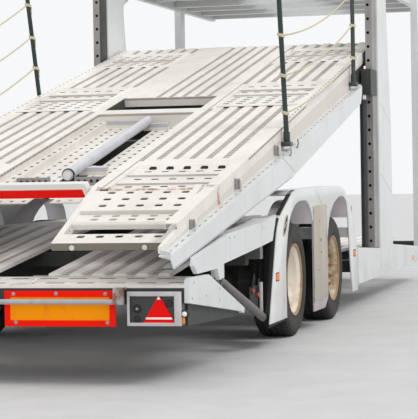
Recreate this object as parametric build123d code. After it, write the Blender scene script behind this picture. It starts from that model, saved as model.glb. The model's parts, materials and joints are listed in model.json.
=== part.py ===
"""Two-axle car transporter trailer, parked on its wheels and its support leg.

Millimetres. +X points to the drawbar, +Y to the left side, +Z up.
The pieces are drawn with X = 0 at the rear axle and the road at Z = 0, and
save() moves them so that the origin is at the middle of the whole length.
Paired pieces are drawn on the right (-Y) and mirrored.
"""
import os
from math import atan, cos, degrees, radians, sin, tan

from build123d import *

os.makedirs("parts", exist_ok=True)

# Width over the side panels, and how far each side piece lies in from it
HALF_WIDTH = 1275.0
SIDE_SHEET = 28.0
STRIP_THICK = 6.0
SILL_THICK = 40.0
COLUMN_DEPTH = 80.0
GIRDER_SET_IN = 30.0
RIM_SET_IN = 50.0
MOVE_GAP = 5.0
BEAM_END = HALF_WIDTH - SIDE_SHEET
GUARD_OUT = HALF_WIDTH - STRIP_THICK
SILL_IN = HALF_WIDTH - SILL_THICK
COLUMN_IN = HALF_WIDTH - COLUMN_DEPTH
GIRDER_OUT = HALF_WIDTH - GIRDER_SET_IN
ARM_IN = GIRDER_OUT + MOVE_GAP
RIM_FACE_Y = HALF_WIDTH - RIM_SET_IN

# Towing eye, the foremost piece
EYE_X = 8280.0
EYE_OUTER_R = 62.0
EYE_BORE_R = 25.0
EYE_THICK = 44.0
EYE_Z = 330.0

# Sloping upper deck: u runs along it, w up from its surface
DECK_Z = 1485.0
DECK_SLOPE = degrees(atan(0.2133))
DECK_END_U = 3877.0
NOSE_U = -1970.0
TIP_U = -3297.0
TIP_W = -99.0
TAIL_X = TIP_U * cos(radians(DECK_SLOPE)) - TIP_W * sin(radians(DECK_SLOPE))
MID_X = (EYE_X + EYE_OUTER_R + TAIL_X) / 2

# Tracks of the upper deck
LEDGE = 69.0
BAND_WIDTH = 76.0
TRACK_OUT = GIRDER_OUT - LEDGE
BAND_IN = TRACK_OUT - BAND_WIDTH
TRACK_IN = 378.0
SHEET = 6.0
GROOVE_DEPTH = 9.0
GROOVE_SIDE = 12.0
GROOVE_COUNT = 6
GROOVE = (BAND_IN - TRACK_IN) / (2 * GROOVE_COUNT + 1)
TROUGH_IN = TRACK_IN + 2 * GROOVE + SHEET
BAND_REAR_U = -2883.0
BAND_LIP = 36.0
SLOT_LONG = 50.0
SLOT_WIDE = 35.0
SLOT_ROUND = 13.0

# Girders, stringers and cross-members of the upper deck
GIRDER_SHEET = 8.0
STRINGER_WIDTH = 62.0
STRINGER_IN_WIDTH = 50.0
STRINGER_DEPTH = 110.0
STRINGER_UNDER = -SHEET - STRINGER_DEPTH
CROSS_WIDTH = 60.0
WALK_STEP = 60.0
WALK_DEPTH = 108.0
WALK_SHEET = 5.0
WALK_SHELF = 60.0
WALK_GAP = 75.0

# Tail flaps hinged behind the tracks
FLAP_ANGLE = 10.0
FLAP_HINGE_U = -1995.0
FLAP_HINGE_W = -40.0
FLAP_TOP = 63.5
FLAP_RAIL_DEPTH = 61.0
FLAP_LENGTH = 840.0
FLAP_GAP = 8.0
FLAP_OUT = BAND_IN - FLAP_GAP
FLAP_RAIL_OUT = 40.0
FLAP_RAIL_IN = 35.0
FLAP_IN = TRACK_IN + 32.0
FLAP_PIN_R = 12.0
FLAP_LUG_R = 19.0
PIN_CLEAR = 0.05
LUG_THICK = 12.0
LUG_GAP = 2.0

# Wheels and axles
AXLE_SPACING = 1416.0
TYRE_R = 396.0
TYRE_WIDTH = 245.0
TYRE_SHOULDER = 26.0
RIM_R = 252.0
RIM_WALL = 10.0
RIM_DROP = 30.0
RIM_WIDTH = 215.0
DISH_DEPTH = 128.0
HUB_R = 88.0
HUB_NOSE_R = 62.0
SPINDLE_R = 42.0
AXLE_TUBE_R = 62.0
DRUM_R = 190.0
DRUM_WIDTH = 215.0

# Columns, lift and front platform
COLUMN_REAR = 3360.0
COLUMN_FRONT = 4050.0
COLUMN_TOP = 2930.0
COLUMN_FOOT = 462.0
GUIDE_DEPTH = 220.0
GUIDE_SHEET = 10.0
GUIDE_OUT = HALF_WIDTH - 13.0
GUIDE_IN = COLUMN_IN + 10.0
GUIDE_REAR = COLUMN_REAR - GUIDE_DEPTH
SLIDE_GAP = 0.5
CARRIAGE_REAR = 2990.0
CARRIAGE_BOTTOM = 1790.0
CARRIAGE_TOP = 2010.0
LIFT_X = 3050.0
LIFT_Y = COLUMN_IN - 1.0
BARREL_R = 30.0
BARREL_TOP = 1750.0
ROD_R = 22.0
PIVOT_X = 3205.0
PIVOT_Z = 1935.0
PIVOT_R = 25.0
PLATFORM_Z = 2945.0
PLATFORM_REAR = 3905.0
PLATFORM_FRONT = 7050.0
PLATFORM_RAIL = 110.0
PLATFORM_SHEET = 30.0
FRONT_POST_X = 5930.0
FRONT_POST_WIDTH = 140.0

# Lower deck and frame
RAIL_IN = 400.0
RAIL_THICK = 60.0
LOW_TRACK_IN = 190.0
LOW_TRACK_OUT = 945.0
LOW_TRACK_THICK = 24.0
LOW_GROOVES = 5
SILL_BOTTOM = 216.0
BODY_FRONT = 6300.0

# Rear beam with its plates and lamps
BEAM_REAR = -2970.0
BEAM_FRONT = -2190.0
BEAM_TOP = 553.0
BEAM_LIP = 98.0
PLATE_IN = 218.0
PLATE_BOTTOM = 327.0
PLATE_TOP = 523.0
PLATE_RIM = 34.0
CORNER_LAMP_R = 17.0
LAMP_OUT = HALF_WIDTH - 2 * CORNER_LAMP_R - 3.0
LAMP_WIDTH = 306.0
PLATE_TO_LAMP = 72.0
PLATE_OUT = LAMP_OUT - LAMP_WIDTH - PLATE_TO_LAMP
LAMP_BOTTOM = 333.0
LAMP_TOP = 520.0
LAMP_RIM = 14.0


def block(x0, x1, y0, y1, z0, z1):
    """A box between two corners."""
    centre = ((x0 + x1) / 2, (y0 + y1) / 2, (z0 + z1) / 2)
    return Pos(*centre) * Box(abs(x1 - x0), abs(y1 - y0), abs(z1 - z0))


def side_face(points, corner=0.0):
    """A polygon in the X-Z plane, its corners rounded where a radius is given."""
    spots = [(x, 0, z) for x, z in points]
    if corner:
        return make_face(FilletPolyline(*spots, radius=corner, close=True))
    return make_face(Polyline(*spots, close=True))


def side_plate(points, y0, y1, corner=0.0):
    """A polygon given as (x, z) points, drawn out between two widths."""
    plate = extrude(side_face(points, corner), amount=abs(y1 - y0), dir=(0, 1, 0))
    return Pos(0, min(y0, y1), 0) * plate


def length_bar(points, x0, x1):
    """A section given as (y, z) points, drawn out along the length."""
    outline = Polyline(*[(x0, y, z) for y, z in points], close=True)
    return extrude(make_face(outline), amount=x1 - x0, dir=(1, 0, 0))


def rod(start, end, radius):
    """A round bar between two points."""
    a, b = Vector(*start), Vector(*end)
    return extrude(Plane(a, z_dir=b - a) * Circle(radius), amount=(b - a).length)


def joined(pieces):
    """Touching pieces as one body."""
    body = pieces[0]
    for piece in pieces[1:]:
        body += piece
    return body


def both(*shapes):
    """The right-hand pieces and their mirror images on the left."""
    right = list(shapes)
    return right + [mirror(s, about=Plane.XZ) for s in right]


def on_side(shape, side):
    """A right-hand piece, mirrored when the left one is wanted."""
    return mirror(shape, about=Plane.XZ) if side > 0 else shape


def on_deck(shape):
    """Turn a piece drawn on a level deck into the slope of the upper deck."""
    return Pos(0, 0, DECK_Z) * Rot(0, -DECK_SLOPE, 0) * shape


def deck_point(u, w=0.0):
    """X and Z of a point u along the deck and w above its surface."""
    a = radians(DECK_SLOPE)
    return u * cos(a) - w * sin(a), DECK_Z + u * sin(a) + w * cos(a)


def save(node, shapes):
    """Write one node, moved to the middle of the whole length."""
    solids = []
    for shape in shapes:
        solids += shape.solids()
    whole = Compound(children=[Pos(-MID_X, 0, 0) * s for s in solids])
    whole.label = node
    export_step(whole, f"parts/{node}.step")


def height_on(line, x):
    """Height of a bent line, given as (x, z) points, at x."""
    for (x0, z0), (x1, z1) in zip(line, line[1:]):
        if x0 <= x <= x1:
            return z0 + (z1 - z0) * (x - x0) / (x1 - x0)
    return line[-1][1]


def slot_places(outer, inner, pitch):
    """Centres of the slots across a sheet, from its outer edge inwards."""
    places = []
    y = outer
    while y - SLOT_LONG / 2 > inner + SHEET:
        places.append(-y)
        y -= pitch
    return places


def slots(rows, columns, w0, w1, wide=SLOT_WIDE, long=SLOT_LONG):
    """Upright cutters for rows and columns of rounded slots."""
    with BuildSketch(Plane.XY.offset(w0)) as sketch:
        with Locations(*[(u, y) for u in rows for y in columns]):
            RectangleRounded(wide, long, min(SLOT_ROUND, wide / 2 - 2))
    return extrude(sketch.sketch, amount=w1 - w0)


def grid_sheet(u0, u1, y0, y1, w0, w1, rows, columns, slot):
    """A flat sheet with a grid of plain slots across it."""
    long, wide = slot
    with BuildSketch(Plane.XY.offset(w0)) as sketch:
        with Locations(((u0 + u1) / 2, (y0 + y1) / 2)):
            Rectangle(u1 - u0, y1 - y0)
            with GridLocations((u1 - u0) / rows, (y1 - y0) / columns, rows, columns):
                Rectangle(wide, long, mode=Mode.SUBTRACT)
    return extrude(sketch.sketch, amount=w1 - w0)


def grooved_line(y0, y1, grooves):
    """Top line of a pressed sheet, as (y, w) points."""
    groove = (y1 - y0) / (2 * grooves + 1)
    points = [(y0, 0.0)]
    for i in range(grooves):
        left = y0 + groove * (2 * i + 1)
        points += [(left, 0.0), (left + GROOVE_SIDE, -GROOVE_DEPTH),
                   (left + groove - GROOVE_SIDE, -GROOVE_DEPTH), (left + groove, 0.0)]
    return points + [(y1, 0.0)]


def ribbed_sheet(u0, u1, line, top=0.0, thick=SHEET):
    """A sheet with long grooves pressed into it, drawn level."""
    upper = [(y, w + top) for y, w in line]
    lower = [(y, w - thick) for y, w in reversed(upper)]
    return length_bar(upper + lower, u0, u1)


# Frame of the trailer

# Top line of a frame rail, and its under side: (x, z)
RAIL_TOP = [(-2910, 545), (-2180, 545), (-150, 772), (1950, 772), (2700, 430), (6250, 430)]
RAIL_UNDER = [(-2910, 440), (-1400, 480), (1950, 500), (2560, 232), (6250, 232)]
# Cross-members: x, how far its ends stay in from the side, z0, z1, width
GUARD_INNER = 170.0
CROSS_MEMBERS = [
    (-2880, 75.0, 445, 540, 60),
    (-2150, 75.0, 445, 540, 80),
    (-1150, 115.0, 560, 650, 80),
    (-520, 345.0, 600, 690, 80),
    (708, GUARD_INNER, 640, 740, 100),
    (1950, GUARD_INNER, 600, 700, 80),
    (2480, SILL_THICK, 300, 400, 80),
    (3700, COLUMN_DEPTH, 250, 400, 120),
    (4900, SILL_THICK, 250, 400, 80),
    (6200, SILL_THICK, 250, 400, 100),
]


def frame_rails():
    """The two bent rails of the frame."""
    return both(side_plate(RAIL_TOP + RAIL_UNDER[::-1], -RAIL_IN - RAIL_THICK, -RAIL_IN))


def cross_members():
    """Cross-members between the rails and their outer ends."""
    solids = []
    for x, inset, z0, z1, width in CROSS_MEMBERS:
        solids.append(block(x - width / 2, x + width / 2, -RAIL_IN, RAIL_IN, z0, z1))
        solids += both(block(x - width / 2, x + width / 2, -HALF_WIDTH + inset,
                             -RAIL_IN - RAIL_THICK, z0, z1))
    return solids


def rear_beam():
    """The folded plate across the tail with two rows of slots in its top."""
    under = BEAM_TOP - 8
    top = grid_sheet(BEAM_REAR, BEAM_FRONT, -BEAM_END, BEAM_END, under, BEAM_TOP, 2, 14, (110, 60))
    lip = block(BEAM_REAR, BEAM_REAR + 12, -BEAM_END, BEAM_END, BEAM_TOP - BEAM_LIP, BEAM_TOP)
    ends = both(block(BEAM_REAR, BEAM_FRONT, -BEAM_END, -BEAM_END + 12,
                      BEAM_TOP - BEAM_LIP, BEAM_TOP))
    ends += both(block(BEAM_REAR, -2910, -RAIL_IN - RAIL_THICK, -RAIL_IN, 450, under))
    return [joined([top, lip] + ends)]


def marking_plates():
    """Blank plates with a raised border."""
    back = block(BEAM_REAR - 8, BEAM_REAR, -PLATE_OUT, -PLATE_IN, PLATE_BOTTOM, PLATE_TOP)
    rim = block(BEAM_REAR - 12, BEAM_REAR - 8, -PLATE_OUT, -PLATE_IN, PLATE_BOTTOM, PLATE_TOP)
    rim -= block(BEAM_REAR - 13, BEAM_REAR - 7, -PLATE_OUT + PLATE_RIM, -PLATE_IN - PLATE_RIM,
                 PLATE_BOTTOM + PLATE_RIM, PLATE_TOP - PLATE_RIM)
    return both(back + rim)


def lamp_boxes():
    """Framed boxes for the tail lamps."""
    inner = LAMP_OUT - LAMP_WIDTH
    body = block(BEAM_REAR - 24, BEAM_REAR + 55, -LAMP_OUT, -inner, LAMP_BOTTOM, LAMP_TOP)
    body -= block(BEAM_REAR, BEAM_REAR + 80, -LAMP_OUT - 5, -inner + 5,
                  BEAM_TOP - BEAM_LIP, LAMP_TOP + 5)
    body -= block(BEAM_REAR - 25, BEAM_REAR - 10, -LAMP_OUT + LAMP_RIM, -inner - LAMP_RIM,
                  LAMP_BOTTOM + LAMP_RIM, LAMP_TOP - LAMP_RIM)
    return both(body)


def reflectors():
    """Red triangles on the lamp boxes."""
    middle = LAMP_OUT - 128.0
    points = [(-middle - 90, 350), (-middle + 90, 350), (-middle, 502)]
    outline = Polyline(*[(BEAM_REAR - 18, y, z) for y, z in points], close=True)
    return both(extrude(make_face(outline), amount=8, dir=(1, 0, 0)))


def rear_bar():
    """The round bar behind the plates, with bent brackets at its ends."""
    x = BEAM_REAR - 60
    end = PLATE_OUT + 40
    bar = rod((x, -end, 466), (x, end, 466), 15)
    for s in (-1, 1):
        y0, y1 = s * (end - 32), s * (end + 24)
        bar += block(x - 15, BEAM_REAR, y0, y1, 530, 542)
        bar += block(x - 15, x + 15, y0, y1, 452, 542)
    return [bar]


CORNER_OUTLINE = [(-2962, 455), (-2962, 575), (-2920, 590), (-2540, 585), (-1700, 330), (-1725, 301),
                  (-1790, 318)]
SKIRT_OUTLINE = [(-2895, 325), (-2895, 455), (-2190, 455), (-1730, 330), (-1726, 302), (-1780, 292)]
ARM_OUTLINE = [(-2852, 650), (-2832, 696), (-2084, 789), (-1268, 826), (-784, 870), (-907, 705),
               (-1226, 683), (-2215, 625), (-2254, 539), (-2294, 539), (-2345, 607), (-2780, 602)]


def corner_panels():
    """White panels that close the tail's corners."""
    return both(side_plate(CORNER_OUTLINE, -HALF_WIDTH, -BEAM_END))


def corner_skirts():
    """Grey bodies under the corner panels."""
    return both(side_plate(SKIRT_OUTLINE, -BEAM_END, -BEAM_END + 42))


def corner_lamps():
    """Round marker lamps on short arms at the corners."""
    y = LAMP_OUT + CORNER_LAMP_R + 2
    arm = rod((-2950, -LAMP_OUT, 398), (-2950, -y, 398), 10)
    lamp = rod((-2930, -y, 398), (-3000, -y, 398), CORNER_LAMP_R)
    return both(arm + lamp)


def struts():
    """Slanted tubes from the tail to the mudguards' rear feet."""
    y = BEAM_END - 34
    tube = rod((-2098, -y, 530), (-920, -y, 200), 27) - guard_body()
    tube -= block(-1000, -900, -y - 40, -y + 40, 100, 150)
    tube += block(-2110, -2085, -y - 20, -y + 25, 480, 575)
    return both(tube)


def side_arms():
    """Side beams of the lower deck's rear ramp with their brackets."""
    arm = side_plate(ARM_OUTLINE, -HALF_WIDTH, -ARM_IN)
    arm += block(-1190, -1110, -ARM_IN - 5, -HALF_WIDTH + 115, 600, 710)
    arm += block(-2190, -2112, -ARM_IN - 5, -HALF_WIDTH + 80, 540, 650)
    return both(arm)


# Mudguards

GUARD_SKIN = 14.0
GUARD_IN = HALF_WIDTH - 165.0
GUARD_ROUND = 16.0
GUARD_OUTLINE = [(-989, 165), (-940, 280), (-700, 855), (-221, 1032), (1563, 1032), (1730, 950),
                 (2245, 519), (2245, 168)]
ARCH_HALF = 440.0
ARCH_TOP = 947.0
ARCH_R = 345.0
ARCH_FLARE = 105.0
LINER = 12.0
# Brackets to the frame: x, width, z0, z1
GUARD_BRACKETS = [(708, 96, 650, 735), (1950, 70, 610, 690)]


def guard_body():
    """A mudguard's outer form, before it is hollowed."""
    body = side_plate(GUARD_OUTLINE, -GUARD_OUT, -GUARD_IN, corner=40)
    return fillet(body.faces().sort_by(Axis.Y)[0].edges(), GUARD_ROUND)


def arch_face(axle, flare_to, grow=0.0):
    """Opening over one tyre, wider at its foot on one side."""
    h, top, knee, low = ARCH_HALF + grow, ARCH_TOP + grow, 585.0, 60.0
    rear = h + (ARCH_FLARE if flare_to < 0 else 0)
    front = h + (ARCH_FLARE if flare_to > 0 else 0)
    with BuildSketch(Plane.XZ) as sketch:
        with Locations((axle, knee)):
            RectangleRounded(2 * h, 2 * (top - knee), ARCH_R)
        Polygon((axle - rear, low), (axle - h, knee), (axle + h, knee), (axle + front, low), align=None)
    return sketch.sketch


def across(face, y0, y1):
    """Draw a face of the X-Z plane out between two widths."""
    return Pos(0, min(y0, y1), 0) * extrude(face, amount=abs(y1 - y0), dir=(0, 1, 0))


def mudguards():
    """Hollow outer shells with an arch and a liner over each tyre."""
    outer = guard_body()
    hollow = across(offset(side_face(GUARD_OUTLINE, 40), amount=-GUARD_SKIN),
                    -GUARD_OUT + GUARD_SKIN, -GUARD_IN + 10)
    shell = outer - hollow - Pos(0, 0, -60) * hollow
    for axle, flare in ((0.0, -1), (AXLE_SPACING, 1)):
        arch = arch_face(axle, flare)
        shell += across(arch_face(axle, flare, LINER), -GUARD_OUT + 4, -GUARD_IN - 10) & outer
        shell -= across(arch, -HALF_WIDTH - 5, -GUARD_IN + 20)
    for x, width, z0, z1 in GUARD_BRACKETS:
        shell += block(x - width / 2, x + width / 2, -GUARD_OUT + 4, -HALF_WIDTH + GUARD_INNER, z0, z1)
    shell += block(-1110, -770, -HALF_WIDTH + 155, -HALF_WIDTH + 120, 600, 645)
    return both(shell)


def mid_strips():
    """Plain plates between the wheels with a flap below."""
    return both(block(468, 948, -HALF_WIDTH, -GUARD_OUT, 160, 900))


# Side marker lamps on the mudguards: x, z
SIDE_LAMPS = [(-756, 460), (2103, 477)]
SILL_LAMP = (5284, 273)


def side_lamps():
    """Long marker lamps along the sides."""
    solids = []
    for x, z in SIDE_LAMPS + [SILL_LAMP]:
        lamp = side_plate([(x - 45, z - 24), (x + 45, z - 24), (x + 45, z + 24), (x - 45, z + 24)],
                          -HALF_WIDTH, -GUARD_OUT, corner=8)
        solids += both(lamp)
    return solids


def sills():
    """Side panels ahead of the mudguards."""
    outline = [(2246, SILL_BOTTOM), (2246, 515), (3274, COLUMN_FOOT), (4060, COLUMN_FOOT),
               (5640, 372), (BODY_FRONT, 335), (BODY_FRONT, SILL_BOTTOM)]
    x, z = SILL_LAMP
    sill = side_plate(outline, -HALF_WIDTH, -SILL_IN)
    sill -= side_plate([(x - 45, z - 24), (x + 45, z - 24), (x + 45, z + 24), (x - 45, z + 24)],
                       -HALF_WIDTH - 5, -GUARD_OUT, corner=8)
    return both(sill)


# Columns and lift


def columns():
    """Tall posts that carry the lift and the front platform."""
    outline = [(COLUMN_REAR, COLUMN_FOOT), (COLUMN_REAR, COLUMN_TOP), (4150, COLUMN_TOP),
               (4150, 2840), (3850, 2720), (3845, 2640), (4040, 1485), (COLUMN_FRONT, COLUMN_FOOT)]
    post = side_plate(outline, -HALF_WIDTH, -COLUMN_IN)
    post += block(COLUMN_REAR, COLUMN_FRONT, -SILL_IN, -COLUMN_IN, 300, COLUMN_FOOT + 8)
    return both(post)


def guide_rails():
    """Channels on the rear faces of the columns, open inwards, with holes in them."""
    z0, z1 = COLUMN_FOOT + 8, COLUMN_TOP - 20
    t = GUIDE_SHEET
    rail = block(GUIDE_REAR, COLUMN_REAR, -GUIDE_OUT, -GUIDE_OUT + t, z0, z1)
    for x in (GUIDE_REAR, COLUMN_REAR - 70, COLUMN_REAR - t):
        rail += block(x, x + t, -GUIDE_OUT, -GUIDE_IN, z0, z1)
    middle = (GUIDE_OUT + GUIDE_IN) / 2
    count = int((z1 - z0) // 120)
    rail -= [rod((GUIDE_REAR - 1, -middle + t / 2, z0 + 60 + 120 * i),
                 (GUIDE_REAR + t + 1, -middle + t / 2, z0 + 60 + 120 * i), 13) for i in range(count)]
    return both(rail)


def lift_cylinders():
    """Upright barrels under the carriages, on brackets off the sills."""
    barrel = rod((LIFT_X, -LIFT_Y, 482), (LIFT_X, -LIFT_Y, BARREL_TOP), BARREL_R)
    barrel += rod((LIFT_X, -LIFT_Y, BARREL_TOP - 25), (LIFT_X, -LIFT_Y, BARREL_TOP), BARREL_R + 6)
    barrel -= rod((LIFT_X, -LIFT_Y, 560), (LIFT_X, -LIFT_Y, BARREL_TOP + 10), ROD_R + PIN_CLEAR)
    barrel += block(LIFT_X - 40, LIFT_X + 40, -SILL_IN, -LIFT_Y + 36, 450, 482)
    return both(barrel)


def lift_rods():
    """Rods that push the carriages up."""
    return both(rod((LIFT_X, -LIFT_Y, 1000), (LIFT_X, -LIFT_Y, CARRIAGE_BOTTOM), ROD_R))


def lift_carriages():
    """Carriages on the guide rails with the deck's pivot pins."""
    z0, z1 = CARRIAGE_BOTTOM, CARRIAGE_TOP
    front = PIVOT_X + 95
    out, inner = GUIDE_OUT + SLIDE_GAP, GUIDE_IN - SLIDE_GAP
    body = block(CARRIAGE_REAR, GUIDE_REAR - SLIDE_GAP, -out - 5, -inner + 15, z0, z1)
    body += block(CARRIAGE_REAR, front, -HALF_WIDTH + 1, -out, z0, z1)
    body += block(CARRIAGE_REAR, front, -inner, -inner + 15, z0, z1)
    pin = rod((PIVOT_X, -inner + 10, PIVOT_Z), (PIVOT_X, -BAND_IN, PIVOT_Z), PIVOT_R)
    return both(body + pin)


def front_posts():
    """Posts that carry the front of the upper platform."""
    half = FRONT_POST_WIDTH / 2
    post = block(FRONT_POST_X - half, FRONT_POST_X + half, -HALF_WIDTH + 5, -HALF_WIDTH + 75,
                 300, PLATFORM_Z - PLATFORM_SHEET - PLATFORM_RAIL)
    return both(post - sills()[0])


# Cross-members of the front platform
PLATFORM_CROSS = (3960, 4700, 5450, FRONT_POST_X, 6500, 7010)


def platform_frame():
    """Side rails and cross-members of the front platform."""
    z1 = PLATFORM_Z - PLATFORM_SHEET
    z0 = z1 - PLATFORM_RAIL
    pieces = both(block(PLATFORM_REAR, PLATFORM_FRONT, -COLUMN_IN + 1, -TRACK_OUT + 40, z0, z1))
    for x in PLATFORM_CROSS:
        pieces.append(block(x - 40, x + 40, -TRACK_OUT, TRACK_OUT, z0 + 20, z1))
    half = FRONT_POST_WIDTH / 2
    pieces += both(block(FRONT_POST_X - half, FRONT_POST_X + half, -HALF_WIDTH + 5,
                         -TRACK_OUT + 26, z0, z1 - 30))
    pieces += both(block(3960, 4150, -COLUMN_IN, -TRACK_OUT + 26, z0 + 20, z1))
    return [joined(pieces)]


def platform_tracks():
    """Ribbed tracks of the front platform."""
    line = grooved_line(-TRACK_OUT, -TRACK_IN, GROOVE_COUNT)
    line = [(-TRACK_OUT, 0.0)] + line[1:-1] + [(-TRACK_IN, 0.0)]
    section = [(y, w + PLATFORM_Z) for y, w in line]
    section += [(-TRACK_IN, PLATFORM_Z - PLATFORM_SHEET), (-TRACK_OUT, PLATFORM_Z - PLATFORM_SHEET)]
    return both(length_bar(section, PLATFORM_REAR, PLATFORM_FRONT))


def lower_tracks():
    """Grooved tracks of the lower deck, from the tail over the axles to the front."""
    line = RAIL_TOP[1:]
    t, d = LOW_TRACK_THICK, GROOVE_DEPTH
    over = [(x, z + t) for x, z in reversed(line)]
    track = side_plate(line + over, -LOW_TRACK_OUT, -LOW_TRACK_IN)
    low = [(line[0][0] - 5, line[0][1])] + line[1:-1] + [(line[-1][0] + 5, line[-1][1])]
    cutter = [(x, z + t - d) for x, z in low] + [(x, z + t + d) for x, z in reversed(low)]
    pitch = (LOW_TRACK_OUT - LOW_TRACK_IN) / (2 * LOW_GROOVES + 1)
    for i in range(LOW_GROOVES):
        y = LOW_TRACK_IN + pitch * (2 * i + 1)
        track -= side_plate(cutter, -y - pitch, -y)
    return both(track)


# Drawbar


def drawbar():
    """Drawbar rails that meet ahead of the frame, and the tube to the eye."""
    pieces = []
    for s in (-1, 1):
        plan = [(6250, s * 320), (6250, s * 450), (7350, s * 110), (7350, 0), (7150, 0)]
        face = make_face(Polyline(*[(x, y, 250) for x, y in plan], close=True))
        pieces.append(extrude(face, amount=150, dir=(0, 0, 1)))
    tube = rod((7100, 0, EYE_Z), (EYE_X - 160, 0, EYE_Z), 60)
    return [pieces[0] + pieces[1] + tube]


def coupling_eye():
    """Ring that drops over the towing pin."""
    shank = rod((EYE_X - 160, 0, EYE_Z), (EYE_X - 45, 0, EYE_Z), 26)
    ring = Pos(EYE_X, 0, EYE_Z - EYE_THICK / 2) * extrude(Circle(EYE_OUTER_R), amount=EYE_THICK)
    hole = Pos(EYE_X, 0, EYE_Z - EYE_THICK) * extrude(Circle(EYE_BORE_R), amount=2 * EYE_THICK)
    return [shank + ring - hole]


def support_leg():
    """Leg under the drawbar, with its foot plate on the road."""
    x, y = 6960, 290
    leg = block(x - 45, x + 45, y - 45, y + 45, 150, 760)
    inner = block(x - 30, x + 30, y - 30, y + 30, 10, 200)
    foot = block(x - 105, x + 105, y - 105, y + 105, 0, 14)
    bracket = block(x - 45, x + 45, 150, y - 40, 260, 390) - drawbar()[0]
    return [leg + inner + foot + bracket]


# Axles and wheels

DRUM_FACE = RIM_FACE_Y - RIM_WIDTH + 5.0


def axles():
    """Tubes of the two axles."""
    half = DRUM_FACE - DRUM_WIDTH
    return [rod((x, -half, TYRE_R), (x, half, TYRE_R), AXLE_TUBE_R) for x in (0.0, AXLE_SPACING)]


def hubs():
    """Brake drums with the spindles that the wheels turn on."""
    solids = []
    for x in (0.0, AXLE_SPACING):
        points = [(0, -DRUM_WIDTH), (AXLE_TUBE_R + 18, -DRUM_WIDTH), (DRUM_R - 30, 30 - DRUM_WIDTH),
                  (DRUM_R, 60 - DRUM_WIDTH), (DRUM_R, -12), (DRUM_R - 12, 0), (SPINDLE_R, 0),
                  (SPINDLE_R, RIM_FACE_Y - 105 - DRUM_FACE), (0, RIM_FACE_Y - 105 - DRUM_FACE)]
        drum = revolved([(r, DRUM_FACE + y) for r, y in points], 1, x)
        solids += [drum, mirror(drum, about=Plane.XZ)]
    return solids


def suspension():
    """Hangers, trailing arms and air springs."""
    under = RAIL_UNDER[1:3]
    solids = []
    for x in (0.0, AXLE_SPACING):
        hanger = block(x - 560, x - 460, -465, -395, 270, height_on(under, x - 560))
        arm = block(x - 560, x + 330, -460, -400, 272, TYRE_R - AXLE_TUBE_R)
        spring = rod((x + 260, -430, 300), (x + 260, -430, height_on(under, x + 160)), 95)
        solids += both(hanger + arm + spring)
    return solids


def revolved(points, y_sign, x):
    """A round piece about an axle from (radius, y) points."""
    outline = Polyline(*[(r, y, 0) for r, y in points], close=True)
    solid = Pos(x, 0, TYRE_R) * revolve(make_face(outline), axis=Axis.Y)
    return on_side(solid, -y_sign)


def tyre(side, x):
    """A tyre with rounded shoulders, seated on the rim's beads."""
    y = RIM_FACE_Y
    outer = y + 6
    inner = outer - TYRE_WIDTH
    r, s = TYRE_R, TYRE_SHOULDER
    bead = RIM_R + 0.5
    well = RIM_R - RIM_DROP + 0.5
    points = [(bead, inner + 6), (bead + 60, inner), (r - 60, inner + 3), (r - s / 2, inner + s),
              (r, inner + 2 * s), (r, outer - 2 * s), (r - s / 2, outer - s), (r - 60, outer - 3),
              (bead + 60, outer), (bead, outer - 6), (bead, y - RIM_WALL - 1), (well, y - 36),
              (well, y - RIM_WIDTH + 42), (bead - 6, y - RIM_WIDTH - 1)]
    return [revolved(points, side, x)]


def rim(side, x):
    """A deep steel wheel: well, lips and disc with its hub cap."""
    y = RIM_FACE_Y
    inner = y - RIM_WIDTH
    bore = SPINDLE_R + PIN_CLEAR
    well = RIM_R - RIM_DROP
    points = [
        (bore, y - 200), (bore, y - 90), (0.0, y - 90),
        (0.0, y - 60), (HUB_NOSE_R, y - 66), (HUB_R, y - 100), (HUB_R + 10, y - DISH_DEPTH),
        (170, y - DISH_DEPTH - 8), (205, y - 60), (212, y - 34), (238, y - 6), (RIM_R, y),
        (RIM_R, y - RIM_WALL), (well, y - 34), (well, inner + 40), (RIM_R - 6.5, inner),
        (RIM_R - 16, inner), (well - 10, inner + 34), (well - 20, y - 80),
        (170, y - DISH_DEPTH - 24), (HUB_R + 10, y - DISH_DEPTH - 20), (HUB_R, y - 200),
    ]
    return [revolved(points, side, x)]


# Tracks of the upper deck

# Treads of the slotted stretches, front to rear: surface as (u, w) points and rows of slots.
# Each tread lies flatter than the deck, so that its rear edge is a small step.
TREADS = [
    # u0, u1, surface, rows, slots' pitch across
    (-1150.0, NOSE_U, [(-1150, 0), (-1318, -2), (-1346, -24), (-1593, -6), (-1594, -18), (-1827, -6),
                       (-1828, -18), (-1952, -12)], (-1345, -1454, -1687, -1887), 113.0),
    (1802.0, 727.0, [(1802, 0), (1788, -18), (1498, -6), (1497, -20), (1270, -6), (1269, -18),
                     (736, 8), (727, 2)], (1690, 1452, 1195, 1081, 967, 853), 101.0),
    (3620.0, 2840.0, [(3620, 0), (3606, -18), (3240, -5), (3239, -18), (2849, 4), (2840, -2)],
     (3530, 3417, 3304, 3150, 3037, 2924), 101.0),
]
FIRST_SLOT = 55.0
RIBBED = [(-1150.0, 727.0), (1802.0, 2840.0), (3620.0, DECK_END_U)]
# Top line of a girder: (u, w)
LEDGE_LINE = [(TIP_U + 8, -77), (-420, -155), (2735, -205)]
GIRDER_UNDER = [(-3250, -165), (-207, -343), (2640, -340)]


def tread_sheet(surface, rows, pitch):
    """One slotted stretch between the inner strip and the outer band."""
    under = [(u, w - SHEET) for u, w in reversed(surface)]
    sheet = side_plate(surface + under, -BAND_IN, -TROUGH_IN)
    places = slot_places(BAND_IN - FIRST_SLOT, TROUGH_IN, pitch)
    return sheet - slots(rows, places, -60, 30)


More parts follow.
